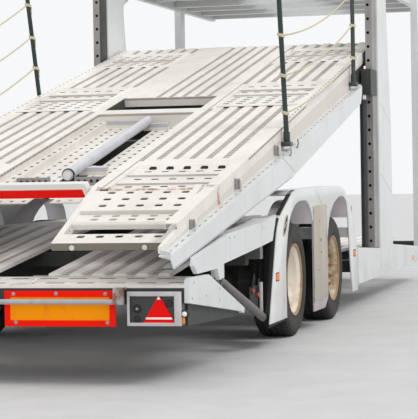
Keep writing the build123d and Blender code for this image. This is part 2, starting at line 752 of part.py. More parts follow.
def nose():
    """Rounded edge at the tracks' rear end."""
    r = 20.0
    edge = block(NOSE_U, -1952, -BAND_IN, -TROUGH_IN, -12 - SHEET - 27, -12)
    edge = fillet(edge.edges().filter_by(Axis.Y).sort_by(Axis.X)[:2].sort_by(Axis.Z)[-1:], r - 3)
    return edge - block(NOSE_U + SHEET, -1940, -BAND_IN - 1, -TROUGH_IN + 1, -80, -12 - SHEET)


def inner_strip(u0, u1):
    """The grooved strip that runs past a slotted stretch, folded down beside it."""
    a, b = -TRACK_IN - 2 * GROOVE, -TRACK_IN - GROOVE
    d, t, s = GROOVE_DEPTH, SHEET, GROOVE_SIDE
    points = [(-TROUGH_IN, 0), (a, 0), (a + s, -d), (b - s, -d), (b, 0), (-TRACK_IN, 0),
              (-TRACK_IN, -t), (b, -t), (b - s, -d - t), (a + s, -d - t), (a, -t), (a, -32),
              (-TROUGH_IN, -32)]
    return length_bar(points, u0, u1)


def outer_band():
    """Flat band along a track with its outer wall and short inner lip."""
    top = block(BAND_REAR_U, DECK_END_U, -TRACK_OUT, -BAND_IN, -SHEET, 0)
    ledge = [(u, w - GIRDER_SHEET) for u, w in LEDGE_LINE]
    rear = (BAND_REAR_U, height_on(ledge, BAND_REAR_U))
    wall = side_plate([(BAND_REAR_U, 0), (DECK_END_U, 0), (DECK_END_U, -95), (ledge[2][0] + 60, -95),
                       ledge[2], ledge[1], rear], -TRACK_OUT, -TRACK_OUT + SHEET)
    lip = block(BAND_REAR_U, DECK_END_U, -BAND_IN - SHEET, -BAND_IN, -BAND_LIP, 0)
    gusset_foot = [(TIP_U + 90, height_on(ledge, TIP_U + 90)), rear]
    gusset = side_plate([(BAND_REAR_U, -34), (TIP_U + 96, -51)] + gusset_foot,
                        -TRACK_OUT, -TRACK_OUT + 26)
    gusset -= side_plate([(BAND_REAR_U + 5, -48), (TIP_U + 120, -62), (TIP_U + 120, -140),
                          (BAND_REAR_U + 5, -140)], -TRACK_OUT + SHEET, -TRACK_OUT + 40)
    return joined([top, wall, lip, gusset])


def deck_track(side):
    """One track of the upper deck."""
    pieces = [outer_band(), nose(), inner_strip(NOSE_U, -1150)]
    pieces += [inner_strip(u1, u0) for u0, u1, _, _, _ in TREADS[1:]]
    pieces += [tread_sheet(surface, rows, pitch) for _, _, surface, rows, pitch in TREADS]
    line = grooved_line(-BAND_IN, -TRACK_IN, GROOVE_COUNT)
    pieces += [ribbed_sheet(u0, u1, line) for u0, u1 in RIBBED]
    return [on_side(on_deck(joined(pieces)), side)]


# Frame of the upper deck

# Cross-members: u, whether they reach into the girders, depth, whether the middle is raised
DECK_CROSS = [(-820, True, 290, False), (100, True, 290, False), (640, True, 290, False),
              (1880, True, 290, True), (2640, True, 290, True), (3830, False, 205, True)]
OUTRIGGER_TOP = -228.0
LUG_OUTLINE = [(2880, 2000), (2940, 1890), (3205, 1885), (3262, 1935), (3240, 2062)]


def deck_girders():
    """Side girders: channels open inwards, with a slotted ledge on top."""
    t = GIRDER_SHEET
    under = GIRDER_UNDER
    front = [(2722, -262)]
    web = side_plate(LEDGE_LINE + front + under[::-1] + [(TIP_U + 8, -99)],
                     -GIRDER_OUT, -GIRDER_OUT + t)
    ledge = side_plate(LEDGE_LINE + [(u, w - t) for u, w in reversed(LEDGE_LINE)],
                       -GIRDER_OUT, -TRACK_OUT)
    slots_at = [TIP_U + 120 + 125 * i for i in range(int((LEDGE_LINE[2][0] - TIP_U - 200) // 125))]
    y = (GIRDER_OUT + TRACK_OUT) / 2
    ledge -= [block(u - 30, u + 30, -y - 6, -y + 6, height_on(LEDGE_LINE, u) - t - 3,
                    height_on(LEDGE_LINE, u) + 3) for u in slots_at]
    foot = side_plate(under + [(u, w + t) for u, w in reversed(under)], -GIRDER_OUT, -TRACK_OUT)
    slant = GIRDER_OUT - TRACK_OUT
    plan = [(TIP_U, -GIRDER_OUT), (TIP_U + slant * 0.7, -TRACK_OUT), (TIP_U + slant * 0.7 + 12, -TRACK_OUT),
            (TIP_U + 16, -GIRDER_OUT)]
    face = make_face(Polyline(*[(u, y, TIP_W) for u, y in plan], close=True))
    cap = extrude(face, amount=44, dir=(0, 0, 1))
    return both(on_deck(joined([web, ledge, foot, cap])))


def deck_frame():
    """Stringers of the upper deck with the lugs that take its pivot pins."""
    y0 = -TRACK_OUT + SHEET
    outer = on_deck(block(-1964, DECK_END_U, y0, y0 + STRINGER_WIDTH, STRINGER_UNDER, -SHEET))
    outer += side_plate(LUG_OUTLINE, y0, y0 + STRINGER_WIDTH)
    outer -= rod((PIVOT_X, y0 - 5, PIVOT_Z), (PIVOT_X, y0 + STRINGER_WIDTH + 5, PIVOT_Z),
                 PIVOT_R + PIN_CLEAR)
    inner = on_deck(block(-1964, DECK_END_U, -TRACK_IN - STRINGER_IN_WIDTH, -TRACK_IN,
                          STRINGER_UNDER, -SHEET))
    return both(outer, inner)


def deck_cross_members():
    """Cross-members of the upper deck, from girder to girder."""
    edge = TRACK_OUT - SHEET
    web = GIRDER_OUT - GIRDER_SHEET
    top = -GROOVE_DEPTH - SHEET
    solids = []
    for u, wide, depth, raised in DECK_CROSS:
        u0, u1 = u - CROSS_WIDTH / 2, u + CROSS_WIDTH / 2
        beam = block(u0, u1, -edge, edge, -depth, STRINGER_UNDER)
        for s in (-1, 1):
            beam += block(u0, u1, s * (TRACK_IN + STRINGER_IN_WIDTH), s * BAND_IN,
                          STRINGER_UNDER, top)
            beam += block(u0, u1, s * BAND_IN, s * (edge - STRINGER_WIDTH), STRINGER_UNDER, -BAND_LIP)
            if wide:
                beam += block(u0, u1, s * edge, s * web, -depth, OUTRIGGER_TOP)
        if raised:
            beam += block(u0, u1, -TRACK_IN, TRACK_IN, STRINGER_UNDER, top)
        solids.append(on_deck(beam))
    return solids


def flap_hinges():
    """Beams under the tracks' rear ends with lugs and pins for the tail flaps."""
    u, w = FLAP_HINGE_U, FLAP_HINGE_W
    back = NOSE_U + SHEET
    beam = block(back, back + 64, -TRACK_OUT + SHEET + STRINGER_WIDTH,
                 -TRACK_IN - STRINGER_IN_WIDTH, -120, -46)
    lug = [(u - 16, w - 10), (u + 15, w - 7), (back + 5, w - 7), (back + 5, -115), (back - 8, -115)]
    for start, end, reach in (
            (FLAP_IN + FLAP_RAIL_IN + LUG_GAP, FLAP_IN + FLAP_RAIL_IN + LUG_GAP + LUG_THICK, FLAP_IN + 2),
            (FLAP_OUT - FLAP_RAIL_OUT - LUG_GAP, FLAP_OUT - FLAP_RAIL_OUT - LUG_GAP - LUG_THICK,
             FLAP_OUT - 2)):
        beam += side_plate(lug, -start, -end)
        beam += rod((u, -start, w), (u, -end, w), FLAP_LUG_R)
        beam += rod((u, -end, w), (u, -reach, w), FLAP_PIN_R)
    return both(on_deck(beam))


def deck_tail_beam():
    """The beam between the tracks' rear ends, with slanted ends."""
    section = [(-376, -58), (-342, 28), (342, 28), (376, -58)]
    beam = length_bar(section, NOSE_U - 5, NOSE_U + 70)
    beam -= length_bar([(-361, -60), (-332, 20), (332, 20), (361, -60)], NOSE_U + 3, NOSE_U + 75)
    feet = both(block(NOSE_U + 6, NOSE_U + 64, -TRACK_IN, -350, -100, -54))
    return [on_deck(joined([beam] + feet))]


def deck_centre():
    """The flush plate and the ribbed panel between the tracks."""
    t = 8.0
    bridge = side_plate([(562, 0), (716, 0), (716, STRINGER_UNDER), (716 - t, STRINGER_UNDER),
                         (716 - t, -t), (562 + t, -t), (562 + t, STRINGER_UNDER),
                         (562, STRINGER_UNDER)], -TRACK_IN, TRACK_IN)
    line = grooved_line(-TRACK_IN, TRACK_IN / 2, GROOVE_COUNT - 1) + [(TRACK_IN, 0.0)]
    panel = ribbed_sheet(1237, DECK_END_U, line)
    panel += block(1237, 1237 + SHEET, -TRACK_IN, TRACK_IN, -70, -SHEET + 1)
    return [on_deck(bridge), on_deck(panel)]


def deck_walkway():
    """Stepped perforated sheets on both sides of the open middle."""
    u0, u1, t = NOSE_U + 80, 562.0, WALK_SHEET
    a, b, c = -TRACK_IN, -TRACK_IN + WALK_SHELF, -WALK_GAP
    rows = int((u1 - u0) // 113)
    wall = length_bar([(a, 0), (a + t, 0), (a + t, -WALK_STEP), (a, -WALK_STEP)], u0, u1)
    shelf = grid_sheet(u0, u1, a, b, -WALK_STEP - t, -WALK_STEP, rows, 1, (26, 45))
    riser = length_bar([(b, -WALK_STEP), (b + t, -WALK_STEP), (b + t, -WALK_DEPTH - t),
                        (b, -WALK_DEPTH - t)], u0, u1)
    floor = grid_sheet(u0, u1, b + t, c, -WALK_DEPTH - t, -WALK_DEPTH, rows, 3, (26, 45))
    return both(on_deck(joined([wall, shelf, riser, floor])))


TUBE_Y = -30.0
TUBE_W = -45.0
TUBE_R = 36.0


def deck_tube():
    """The grey tube over the open middle, on cradles off the walkway."""
    floor = -WALK_DEPTH
    tube = rod((-1380, TUBE_Y, TUBE_W), (480, TUBE_Y, TUBE_W), TUBE_R)
    tube += rod((-1400, TUBE_Y, TUBE_W), (-1370, TUBE_Y, TUBE_W), TUBE_R - 7)
    tube += rod((-1366, TUBE_Y, TUBE_W), (-1345, TUBE_Y, TUBE_W), TUBE_R + 4)
    for u in (-1075, 440):
        tube += block(u - 25, u + 25, -200, TUBE_Y + 20, floor, TUBE_W - 12)
    plate = block(546, 562, 10, TRACK_IN - WALK_SHELF - WALK_SHEET, floor, -55)
    return [on_deck(tube), on_deck(plate)]


# Posts of the hand rope: x of the foot and side
POSTS = [(-106.0, -1), (2522.0, -1), (-1030.0, 1), (1600.0, 1)]
POST_LENGTH = 1100.0
POST_R = 18.0
SOCKET = 50.0
SOCKET_DEPTH = 95.0


def rope_posts():
    """Posts square to the deck on the girders' ledges, in short sockets."""
    solids = []
    for x, s in POSTS:
        u = x / cos(radians(DECK_SLOPE)) - 40
        y = s * (GIRDER_OUT + TRACK_OUT) / 2
        h = SOCKET / 2
        line = [(u - h, height_on(LEDGE_LINE, u - h)), (u + h, height_on(LEDGE_LINE, u + h))]
        foot = line[0][1]
        socket = side_plate(line + [(u + h, foot + SOCKET_DEPTH), (u - h, foot + SOCKET_DEPTH)],
                            y - h, y + h)
        post = rod((u, y, foot + 10), (u, y, foot + POST_LENGTH), POST_R)
        solids.append(on_deck(socket + post))
    return solids


# Tail flaps: s runs down along the flap from its hinge, h up from the hinge's axis


def on_flap(shape):
    """Place a piece drawn as (-s, y, h) on the sloping flap."""
    x, z = deck_point(FLAP_HINGE_U, FLAP_HINGE_W)
    return Pos(x, 0, z) * Rot(0, -DECK_SLOPE - FLAP_ANGLE, 0) * shape


def flap_plate(surface, rows):
    """A slotted plate between a flap's rails, from (s, h) points below its top."""
    points = [(-s, FLAP_TOP + h) for s, h in surface]
    under = [(x, z - SHEET) for x, z in reversed(points)]
    y0, y1 = FLAP_OUT - FLAP_RAIL_OUT, FLAP_IN + FLAP_RAIL_IN
    sheet = side_plate(points + under, -y0, -y1)
    places = slot_places(y0 - 34, y1, 114.5)
    return sheet - slots([-s for s in rows], places, -20, FLAP_TOP + 20)


def flap_rail(y0, y1):
    """A rail of a flap, with a round lug at its hinge and holes along it."""
    top, low, end = FLAP_TOP, FLAP_TOP - FLAP_RAIL_DEPTH, FLAP_LENGTH
    rail = side_plate([(0, top), (-end, top), (-end, top - 45), (-end + 60, low), (-14, low),
                       (FLAP_LUG_R - 5, top - 30)], -y1, -y0)
    rail += rod((0, -y0, 0), (0, -y1, 0), FLAP_LUG_R)
    rail += block(-16, FLAP_LUG_R - 5, -y1, -y0, 0, top - 34)
    rail -= rod((0, -y0 + 5, 0), (0, -y1 - 5, 0), FLAP_PIN_R + PIN_CLEAR)
    middle = (top + low) / 2
    return rail - [rod((-s, -y0 + 5, middle), (-s, -y1 - 5, middle), 13) for s in range(560, 710, 48)]


def ramp_end(side):
    """A tail flap: two rails, three slotted plates and an end beam with two bosses."""
    top = FLAP_TOP
    y0, y1 = FLAP_OUT - FLAP_RAIL_OUT, FLAP_IN + FLAP_RAIL_IN
    pieces = [flap_rail(FLAP_IN, y1), flap_rail(y0, FLAP_OUT)]
    pieces.append(flap_plate([(85, 0), (381, 0)], (112, 210, 308)))
    pieces.append(block(-381, -381 + SHEET, -y0, -y1, top - 40, top))
    pieces.append(flap_plate([(400, -18), (535, -6)], (424, 487)))
    edge = block(-545, -523, -y0, -y1, top - 48, top - 6)
    edge = fillet(edge.edges().filter_by(Axis.Y).sort_by(Axis.X)[:2].sort_by(Axis.Z)[-1:], 18)
    pieces.append(edge)
    pieces.append(flap_plate([(715, 0), (810, 0)], (748,)))
    pieces.append(block(-FLAP_LENGTH, -FLAP_LENGTH + 34, -y0, -y1, top - 45, top))
    for y in (y0 - 90, y1 + 90):
        pieces.append(rod((-FLAP_LENGTH - 12, -y, top - 24), (-FLAP_LENGTH + 10, -y, top - 24), 15))
    return [on_side(on_flap(joined(pieces)), side)]


def main():
    save("frame_rails", frame_rails())
    save("cross_members", cross_members())
    save("rear_beam", rear_beam())
    save("marking_plates", marking_plates())
    save("lamp_boxes", lamp_boxes())
    save("reflectors", reflectors())
    save("rear_bar", rear_bar())
    save("corner_panels", corner_panels())
    save("corner_skirts", corner_skirts())
    save("corner_lamps", corner_lamps())
    save("struts", struts())
    save("side_arms", side_arms())
    save("mudguards", mudguards())
    save("mid_strips", mid_strips())
    save("side_lamps", side_lamps())
    save("sills", sills())
    save("columns", columns())
    save("guide_rails", guide_rails())
    save("lift_cylinders", lift_cylinders())
    save("lift_rods", lift_rods())
    save("lift_carriages", lift_carriages())
    save("front_posts", front_posts())
    save("platform_frame", platform_frame())
    save("platform_tracks", platform_tracks())
    save("lower_tracks", lower_tracks())
    save("drawbar", drawbar())
    save("coupling_eye", coupling_eye())
    save("support_leg", support_leg())
    save("axles", axles())
    save("hubs", hubs())
    save("suspension", suspension())
    for name, side, x in (("rear_left", 1, 0.0), ("rear_right", -1, 0.0),
                          ("front_left", 1, AXLE_SPACING), ("front_right", -1, AXLE_SPACING)):
        save(f"tyre_{name}", tyre(side, x))
        save(f"rim_{name}", rim(side, x))
    save("deck_frame", deck_frame())
    save("deck_girders", deck_girders())
    save("deck_cross_members", deck_cross_members())
    save("flap_hinges", flap_hinges())
    save("deck_track_left", deck_track(1))
    save("deck_track_right", deck_track(-1))
    save("deck_tail_beam", deck_tail_beam())
    save("deck_centre", deck_centre())
    save("deck_walkway", deck_walkway())
    save("deck_tube", deck_tube())
    save("rope_posts", rope_posts())
    save("ramp_end_left", ramp_end(1))
    save("ramp_end_right", ramp_end(-1))


main()
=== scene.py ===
"""Looks of the car transporter trailer. Metres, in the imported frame."""
import json
import math

import bmesh
import bpy
from mathutils import Matrix, Vector


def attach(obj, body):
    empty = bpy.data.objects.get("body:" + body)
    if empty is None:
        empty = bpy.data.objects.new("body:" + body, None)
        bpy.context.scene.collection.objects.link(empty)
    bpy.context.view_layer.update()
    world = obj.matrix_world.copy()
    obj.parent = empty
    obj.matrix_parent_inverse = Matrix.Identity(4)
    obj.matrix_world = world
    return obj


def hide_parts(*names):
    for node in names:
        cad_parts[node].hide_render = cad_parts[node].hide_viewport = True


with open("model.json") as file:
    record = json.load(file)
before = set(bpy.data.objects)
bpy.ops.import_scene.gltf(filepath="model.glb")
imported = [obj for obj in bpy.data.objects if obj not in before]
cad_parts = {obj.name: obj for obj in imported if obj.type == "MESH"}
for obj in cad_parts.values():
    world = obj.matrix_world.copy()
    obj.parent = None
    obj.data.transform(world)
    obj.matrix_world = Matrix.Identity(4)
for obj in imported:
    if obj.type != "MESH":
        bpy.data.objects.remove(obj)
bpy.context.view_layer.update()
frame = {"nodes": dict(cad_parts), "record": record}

# Camera of the photograph: focal length in pixels, pose in the row's frame
FOCAL_PX = 1813.85
PHOTO_HEIGHT_PX = 419
CAMERA_PLACE = (-14.9587, -3.8837, 1.1770)
CAMERA_YAW = 0.2582
CAMERA_PITCH = -0.0223
CAMERA_ROLL = -0.0180

# The part's own measures, from the rear axle
MID = 2.56909
SLOPE = math.atan(0.2133)
COS, SIN = math.cos(SLOPE), math.sin(SLOPE)
DECK_Z = 1.485
AXLES = {"rear": 0.0, "front": 1.416}
AXLE_Z = 0.396
HALF_WIDTH = 1.275
GIRDER_OUT = 1.245
TRACK_OUT = 1.176
BAND_IN = 1.100
TROUGH_IN = 0.495
SIDES = (("right", -1), ("left", 1))
WHEELS = [(f"{end_name}_{side}", end_name, axle, s) for end_name, axle in AXLES.items() for side, s in SIDES]

# The tracks' ribbed stretches along the deck, and the surface of the slotted ones, as (u, w)
RIBBED = ((-1.148, 0.725), (1.804, 2.838))
RIBBED_FRONT = 3.620
SLOTTED = [
    [(-1.150, 0), (-1.318, -0.002), (-1.346, -0.024), (-1.593, -0.006), (-1.594, -0.018), (-1.827, -0.006),
     (-1.828, -0.018), (-1.952, -0.012)],
    [(1.802, 0), (1.788, -0.018), (1.498, -0.006), (1.497, -0.020), (1.270, -0.006), (1.269, -0.018),
     (0.736, 0.008)],
    [(3.606, -0.018), (3.240, -0.005), (3.239, -0.018), (2.849, 0.004)]]
STEPS = [(a[0] + b[0]) / 2 for line in SLOTTED for a, b in zip(line, line[1:]) if a[0] - b[0] < 0.002]


def row(x):
    """From the rear axle to the row's frame."""
    return x - MID


def deck(u, w=0.0):
    """A point of the sloping deck: along it and above it."""
    return row(u * COS - w * SIN), DECK_Z + u * SIN + w * COS


def circle(steps):
    """Cosine and sine of even steps of a full turn."""
    return [(math.cos(t), math.sin(t)) for t in (2 * math.pi * k / steps for k in range(steps))]


def linked(name, data):
    """A new object in the scene."""
    obj = bpy.data.objects.new(name, data)
    bpy.context.collection.objects.link(obj)
    return obj


def add_camera():
    """The camera at the photograph's place, without shift or blur."""
    yaw, pitch, roll = CAMERA_YAW, CAMERA_PITCH, CAMERA_ROLL
    ahead = Vector((math.cos(pitch) * math.cos(yaw), math.cos(pitch) * math.sin(yaw), math.sin(pitch)))
    right = ahead.cross(Vector((0, 0, 1))).normalized()
    up = right.cross(ahead)
    c, s = math.cos(roll), math.sin(roll)
    right, up = c * right + s * up, c * up - s * right
    data = bpy.data.cameras.new("camera")
    data.sensor_width = 36.0
    data.lens = FOCAL_PX * data.sensor_width / PHOTO_HEIGHT_PX
    data.clip_end = 200
    camera = linked("camera", data)
    turn = Matrix((right, up, -ahead)).transposed()
    camera.matrix_world = Matrix.Translation(CAMERA_PLACE) @ turn.to_4x4()
    bpy.context.scene.camera = camera


# Materials


class Nodes:
    """A short way to write a node material."""

    def __init__(self, name):
        self.mat = bpy.data.materials.new(name)
        self.mat.use_nodes = True
        self.tree = self.mat.node_tree
        self.shader = self.tree.nodes["Principled BSDF"]
        # The point on the piece, which rides with it
        self.place = self.add("ShaderNodeTexCoord").outputs["Object"]
        self.xyz = self.add("ShaderNodeSeparateXYZ", {0: self.place}).outputs

    def add(self, kind, inputs=None, **values):
        """A node with its settings and inputs."""
        node = self.tree.nodes.new(kind)
        for key, value in values.items():
            setattr(node, key, value)
        for key, value in (inputs or {}).items():
            self.feed(node.inputs[key], value)
        return node

    def feed(self, socket, value):
        """Link a socket, or set its value."""
        if isinstance(value, bpy.types.NodeSocket):
            self.tree.links.new(value, socket)
        else:
            socket.default_value = value

    def set(self, **values):
        """Feed the shader's own inputs."""
        names = {"color": "Base Color", "rough": "Roughness", "metal": "Metallic", "normal": "Normal",
                 "coat": "Coat Weight", "coat_rough": "Coat Roughness", "spec": "Specular IOR Level"}
        for key, value in values.items():
            self.feed(self.shader.inputs[names[key]], value)
        return self.mat

    def noise(self, scale, detail=4.0, stretch=None, rough=0.55):
        """Cloudy noise of the piece's own surface."""
        vector = self.place
        if stretch:
            vector = self.add("ShaderNodeMapping", {0: vector, "Scale": stretch}).outputs[0]
        return self.add("ShaderNodeTexNoise", {"Vector": vector, "Scale": scale, "Detail": detail,
                                               "Roughness": rough}).outputs["Fac"]

    def ramp(self, value, none, full):
        """0 up to one value and 1 from the other, whichever is higher."""
        return self.add("ShaderNodeMapRange", {"Value": value, "From Min": none, "From Max": full},
                        clamp=True).outputs[0]

    def mix(self, factor, a, b):
        """A blend of two colours."""
        node = self.add("ShaderNodeMix", data_type="RGBA")
        for key, value in ((0, factor), (6, a), (7, b)):
            self.feed(node.inputs[key], value)
        return node.outputs[2]

    def math(self, kind, a, b=0.0, c=0.0):
        return self.add("ShaderNodeMath", {0: a, 1: b, 2: c}, operation=kind).outputs[0]

    def joined(self, kind, masks):
        """One kind of sum over all masks."""
        total = masks[0]
        for mask in masks[1:]:
            total = self.math(kind, total, mask)
        return total

    def both(self, *masks):
        """Product of masks and amounts."""
        return self.joined("MULTIPLY", masks)

    def either(self, *masks):
        """Highest of masks."""
        return self.joined("MAXIMUM", masks)

    def line(self, a, c, const):
        """a x + c z + const."""
        total = self.math("MULTIPLY_ADD", self.xyz[0], a, const)
        return self.math("MULTIPLY_ADD", self.xyz[2], c, total) if c else total

    def between(self, value, low, high, soft=0.002):
        """1 from low to high, with soft ends."""
        return self.both(self.ramp(value, low - soft, low + soft),
                         self.ramp(value, high + soft, high - soft))

    def deck_u(self):
        """Place along the sloping deck."""
        return self.line(COS, SIN, MID * COS - DECK_Z * SIN)

    def deck_w(self):
        """Height above the sloping deck."""
        return self.line(-SIN, COS, -MID * SIN - DECK_Z * COS)

    def wide(self):
        """Distance from the middle plane."""
        return self.math("ABSOLUTE", self.xyz[1])

    def square(self, x, z):
        """Squared distance from a line across the part, at x from the rear axle and z."""
        dx, dz = self.line(1, 0, -row(x)), self.line(0, 1, -z)
        return self.math("MULTIPLY_ADD", dx, dx, self.math("MULTIPLY", dz, dz))

    def radius(self, axle):
        """Distance from an axle's line."""
        return self.math("SQRT", self.square(axle, AXLE_Z))

    def cycle(self, value, pitch):
        """0 to 1 over each pitch of a value."""
        return self.math("FRACT", self.math("MULTIPLY", value, 1 / pitch))

    def seam(self, a, b, width, inner=1.2):
        """A line from a to b, seen from the side, on faces further out than inner."""
        ax, az = row(a[0]), a[1]
        bx, bz = row(b[0]), b[1]
        length = math.hypot(bx - ax, bz - az)
        dx, dz = (bx - ax) / length, (bz - az) / length
        off = self.math("ABSOLUTE", self.line(-dz, dx, ax * dz - az * dx))
        along = self.line(dx, dz, -ax * dx - az * dz)
        return self.both(self.ramp(off, width * 0.6, width * 0.4),
                         self.between(along, 0, length), self.ramp(self.wide(), inner - 0.002, inner))

    def bump(self, height, strength=0.2, distance=0.002):
        return self.add("ShaderNodeBump", {"Height": height, "Strength": strength,
                                           "Distance": distance}).outputs[0]


def rgb(r, g, b):
    """A colour written as screen values 0 to 255."""
    def linear(v):
        v /= 255.0
        return v / 12.92 if v <= 0.04045 else ((v + 0.055) / 1.055) ** 2.4
    return (linear(r), linear(g), linear(b), 1.0)


def painted(m, name, colour, dirt, rough=0.35, dirt_amount=0.5, coat=0.3, marks=(), spec=0.5,
            metal=0.0):
    """Keep a paint with road dirt in patches, streaks and specks; each mark gives (mask, colour)."""
    n = Nodes(name)
    patches = n.ramp(n.noise(1.7, 6.0), 0.45, 0.75)
    streaks = n.ramp(n.noise(9.0, 5.0, (1.0, 1.0, 0.12)), 0.5, 0.8)
    specks = n.ramp(n.noise(70.0, 2.0), 0.66, 0.74)
    grime = n.both(n.either(patches, streaks, specks), dirt_amount)
    paint = n.mix(grime, rgb(*colour), rgb(*dirt))
    for mark in marks:
        mask, tint = mark(n)
        paint = n.mix(mask, paint, rgb(*tint))
    n.set(color=paint, coat=coat, coat_rough=0.15, spec=spec, metal=metal)
    n.set(rough=n.math("MULTIPLY_ADD", n.noise(20.0, 3.0), 0.2, rough),
          normal=n.bump(n.noise(60.0, 3.0), 0.06, 0.001))
    m[name] = n.mat


def ribbed(n):
    """Where the deck is ribbed and not slotted."""
    u = n.deck_u()
    return n.either(*[n.between(u, *stretch) for stretch in RIBBED],
                    n.ramp(u, RIBBED_FRONT, RIBBED_FRONT + 0.002),
                    n.ramp(n.wide(), TROUGH_IN - 0.045, TROUGH_IN - 0.050))


def grooves(n):
    """Dirt and painted shade in the deck's grooves."""
    return n.both(n.between(n.deck_w(), -0.020, -0.0045, 0.0015), ribbed(n), 0.8), (156, 148, 141)


def groove_dash_shade(n):
    """Raised dashes across the grooves, with painted shade behind each."""
    turn = n.cycle(n.deck_u(), 0.052)
    return n.both(n.between(n.deck_w(), -0.020, -0.007, 0.001), ribbed(n),
                  n.between(turn, 0.12, 0.46, 0.08), n.ramp(n.noise(14.0, 2.0), 0.3, 0.5)), (104, 98, 96)


def edge_dashes(n):
    """A line of short dark dashes along the tracks' outer edge."""
    turn, rear_end = n.cycle(n.deck_u(), 0.1), 0.019
    return n.both(n.between(n.wide(), TRACK_OUT - 0.027, TRACK_OUT - 0.017, 0.001),
                  n.between(turn, 0.2, 0.62, 0.06),
                  n.ramp(n.deck_u(), rear_end - 0.001, rear_end + 0.001),
                  n.ramp(n.deck_w(), -0.010, -0.008)), (70, 66, 68)


def outer_wall_shade(n):
    """Painted shade on the lower part of the outer wall of the tracks' band."""
    return n.both(n.ramp(n.wide(), TRACK_OUT - 0.0005, TRACK_OUT - 0.0001),
                  n.ramp(n.deck_w(), -0.072, -0.076), 0.7), (212, 203, 196)


def slot_wall_shade(n):
    """Painted shade on the inner walls of the slots, fainter on the steps of the slotted stretches."""
    normal = n.add("ShaderNodeNewGeometry").outputs["True Normal"]
    normal = n.add("ShaderNodeSeparateXYZ", {"Vector": normal}).outputs
    facing = n.math("MULTIPLY_ADD", normal[2], COS, n.math("MULTIPLY", normal[0], -SIN))
    steps = n.either(*[n.between(n.deck_u(), at - 0.002, at + 0.002, 0.0005) for at in STEPS])
    return n.both(n.ramp(n.math("ABSOLUTE", facing), 0.55, 0.45),
                  n.between(n.wide(), TROUGH_IN + 0.002, BAND_IN - 0.003),
                  n.math("MULTIPLY_ADD", steps, -0.6, 1.0)), (58, 54, 54)


def rust(colour, low=0.6, high=0.72, scale=6.0, where=None, amount=1.0):
    """Rusty patches, all over or inside a mask."""
    def mark(n):
        mask = n.ramp(n.noise(scale, 8.0, None, 0.7), low, high)
        if where:
            mask = n.both(mask, where(n))
        return n.both(mask, amount), colour
    return mark


def shade(where, colour, amount=1.0):
    """A colour inside a mask."""
    def mark(n):
        return n.both(where(n), amount), colour
    return mark


PALE_RUST = rust((196, 176, 140), 0.62, 0.75, 3.0, None, 0.6)

# The flaps' hinge, and their own slope at rest, 10 degrees steeper than the deck
FLAP_HINGE = deck(-1.995, -0.040)
FLAP_SLOPE = SLOPE + math.radians(10)
FLAP_COS, FLAP_SIN = math.cos(FLAP_SLOPE), math.sin(FLAP_SLOPE)
RUST = (168, 110, 50)
RUST_DARK = (120, 74, 40)
SEAM_DARK = (96, 94, 96)


def track_marks():
    """Painted shade in the slots, behind the groove dashes and on the outer wall, dirt and painted shade in
    the grooves, edge dashes and rust of the upper deck's tracks.
    """
    at_nose = lambda n: n.both(n.between(n.deck_u(), -1.99, -1.93, 0.01), n.ramp(n.wide(), 0.36, 0.40))
    return [grooves, groove_dash_shade, outer_wall_shade, edge_dashes, slot_wall_shade,
            PALE_RUST, rust(RUST, 0.45, 0.6, 16.0, at_nose)]


# Seams between sheets, seen from the side: both ends, width, and the distance out that they start at
PANEL_SEAMS = [((-0.427, 1.243), (-0.035, 1.146), 0.006, 1.24), ((1.16, 1.45), (1.16, 1.60), 0.006, 1.24),
               ((-1.218, 0.69), (-1.218, 0.83), 0.005, 1.26), ((3.451, 1.732), (4.102, 1.532), 0.006, 1.26),
               ((3.444, 1.107), (4.098, 0.910), 0.006, 1.26), ((3.372, 0.25), (3.372, 0.51), 0.006, 1.26)]
GUARD_SEAMS = [((0.545, 1.03), (0.60, 0.99), 0.006, 1.24), ((0.60, 0.99), (0.79, 0.90), 0.006, 1.24)]


def seam_marks(seams):
    """A dark line for each seam."""
    return [shade(lambda n, seam=seam: n.seam(*seam), SEAM_DARK, 0.8) for seam in seams]


def sheet_marks():
    """Painted shade on the girders' folded edges and in hidden corners, a darker tone towards the bottom, and
    rust of every white sheet.
    """
    foot = lambda n: n.both(n.ramp(n.xyz[2], 0.55, 0.1), n.ramp(n.noise(5.0, 6.0), 0.4, 0.7))
    return [shade(girder_edge_shade, (168, 164, 174), 0.85), shade(hidden_shade, (66, 68, 68)),
            shade(foot, (176, 170, 162), 0.6), rust(RUST, 0.70, 0.76, 9.0, None, 0.8)]


def panel_marks():
    """Seams and rivets of the side's white sheets, and what all sheets have."""
    return seam_marks(PANEL_SEAMS) + [shade(rivets, (120, 118, 118), 0.9)] + sheet_marks()


RIVETS = [(-2.90, 0.475), (-2.60, 0.470), (-2.30, 0.425), (-2.86, 0.560), (-2.30, 0.490), (-2.05, 0.770),
          (-1.93, 0.770), (-1.15, 0.800), (3.40, 0.300), (3.40, 0.360), (3.58, 0.300), (3.66, 0.300),
          (3.80, 0.320), (3.80, 0.390)]


def rivets(n):
    """Flat rivet heads in the outermost sheets."""
    dots = [n.ramp(n.square(x, z), 0.00008, 0.00006) for x, z in RIVETS]
    return n.both(n.either(*dots), n.ramp(n.wide(), HALF_WIDTH - 0.0012, HALF_WIDTH - 0.0008))


def girder_edge_shade(n):
    """Painted shade on the folded lower edge of a deck girder, behind its bend."""
    taper, bend = 0.0585, -0.205
    low = n.math("MULTIPLY_ADD", n.deck_u(), taper, n.deck_w())
    return n.both(n.ramp(low, -0.343, -0.345), n.ramp(low, -0.375, -0.373),
                  n.ramp(n.deck_u(), bend + 0.005, bend - 0.005),
                  n.ramp(n.xyz[2], 0.64, 0.65), n.between(n.wide(), 1.16, GIRDER_OUT + 0.0015))


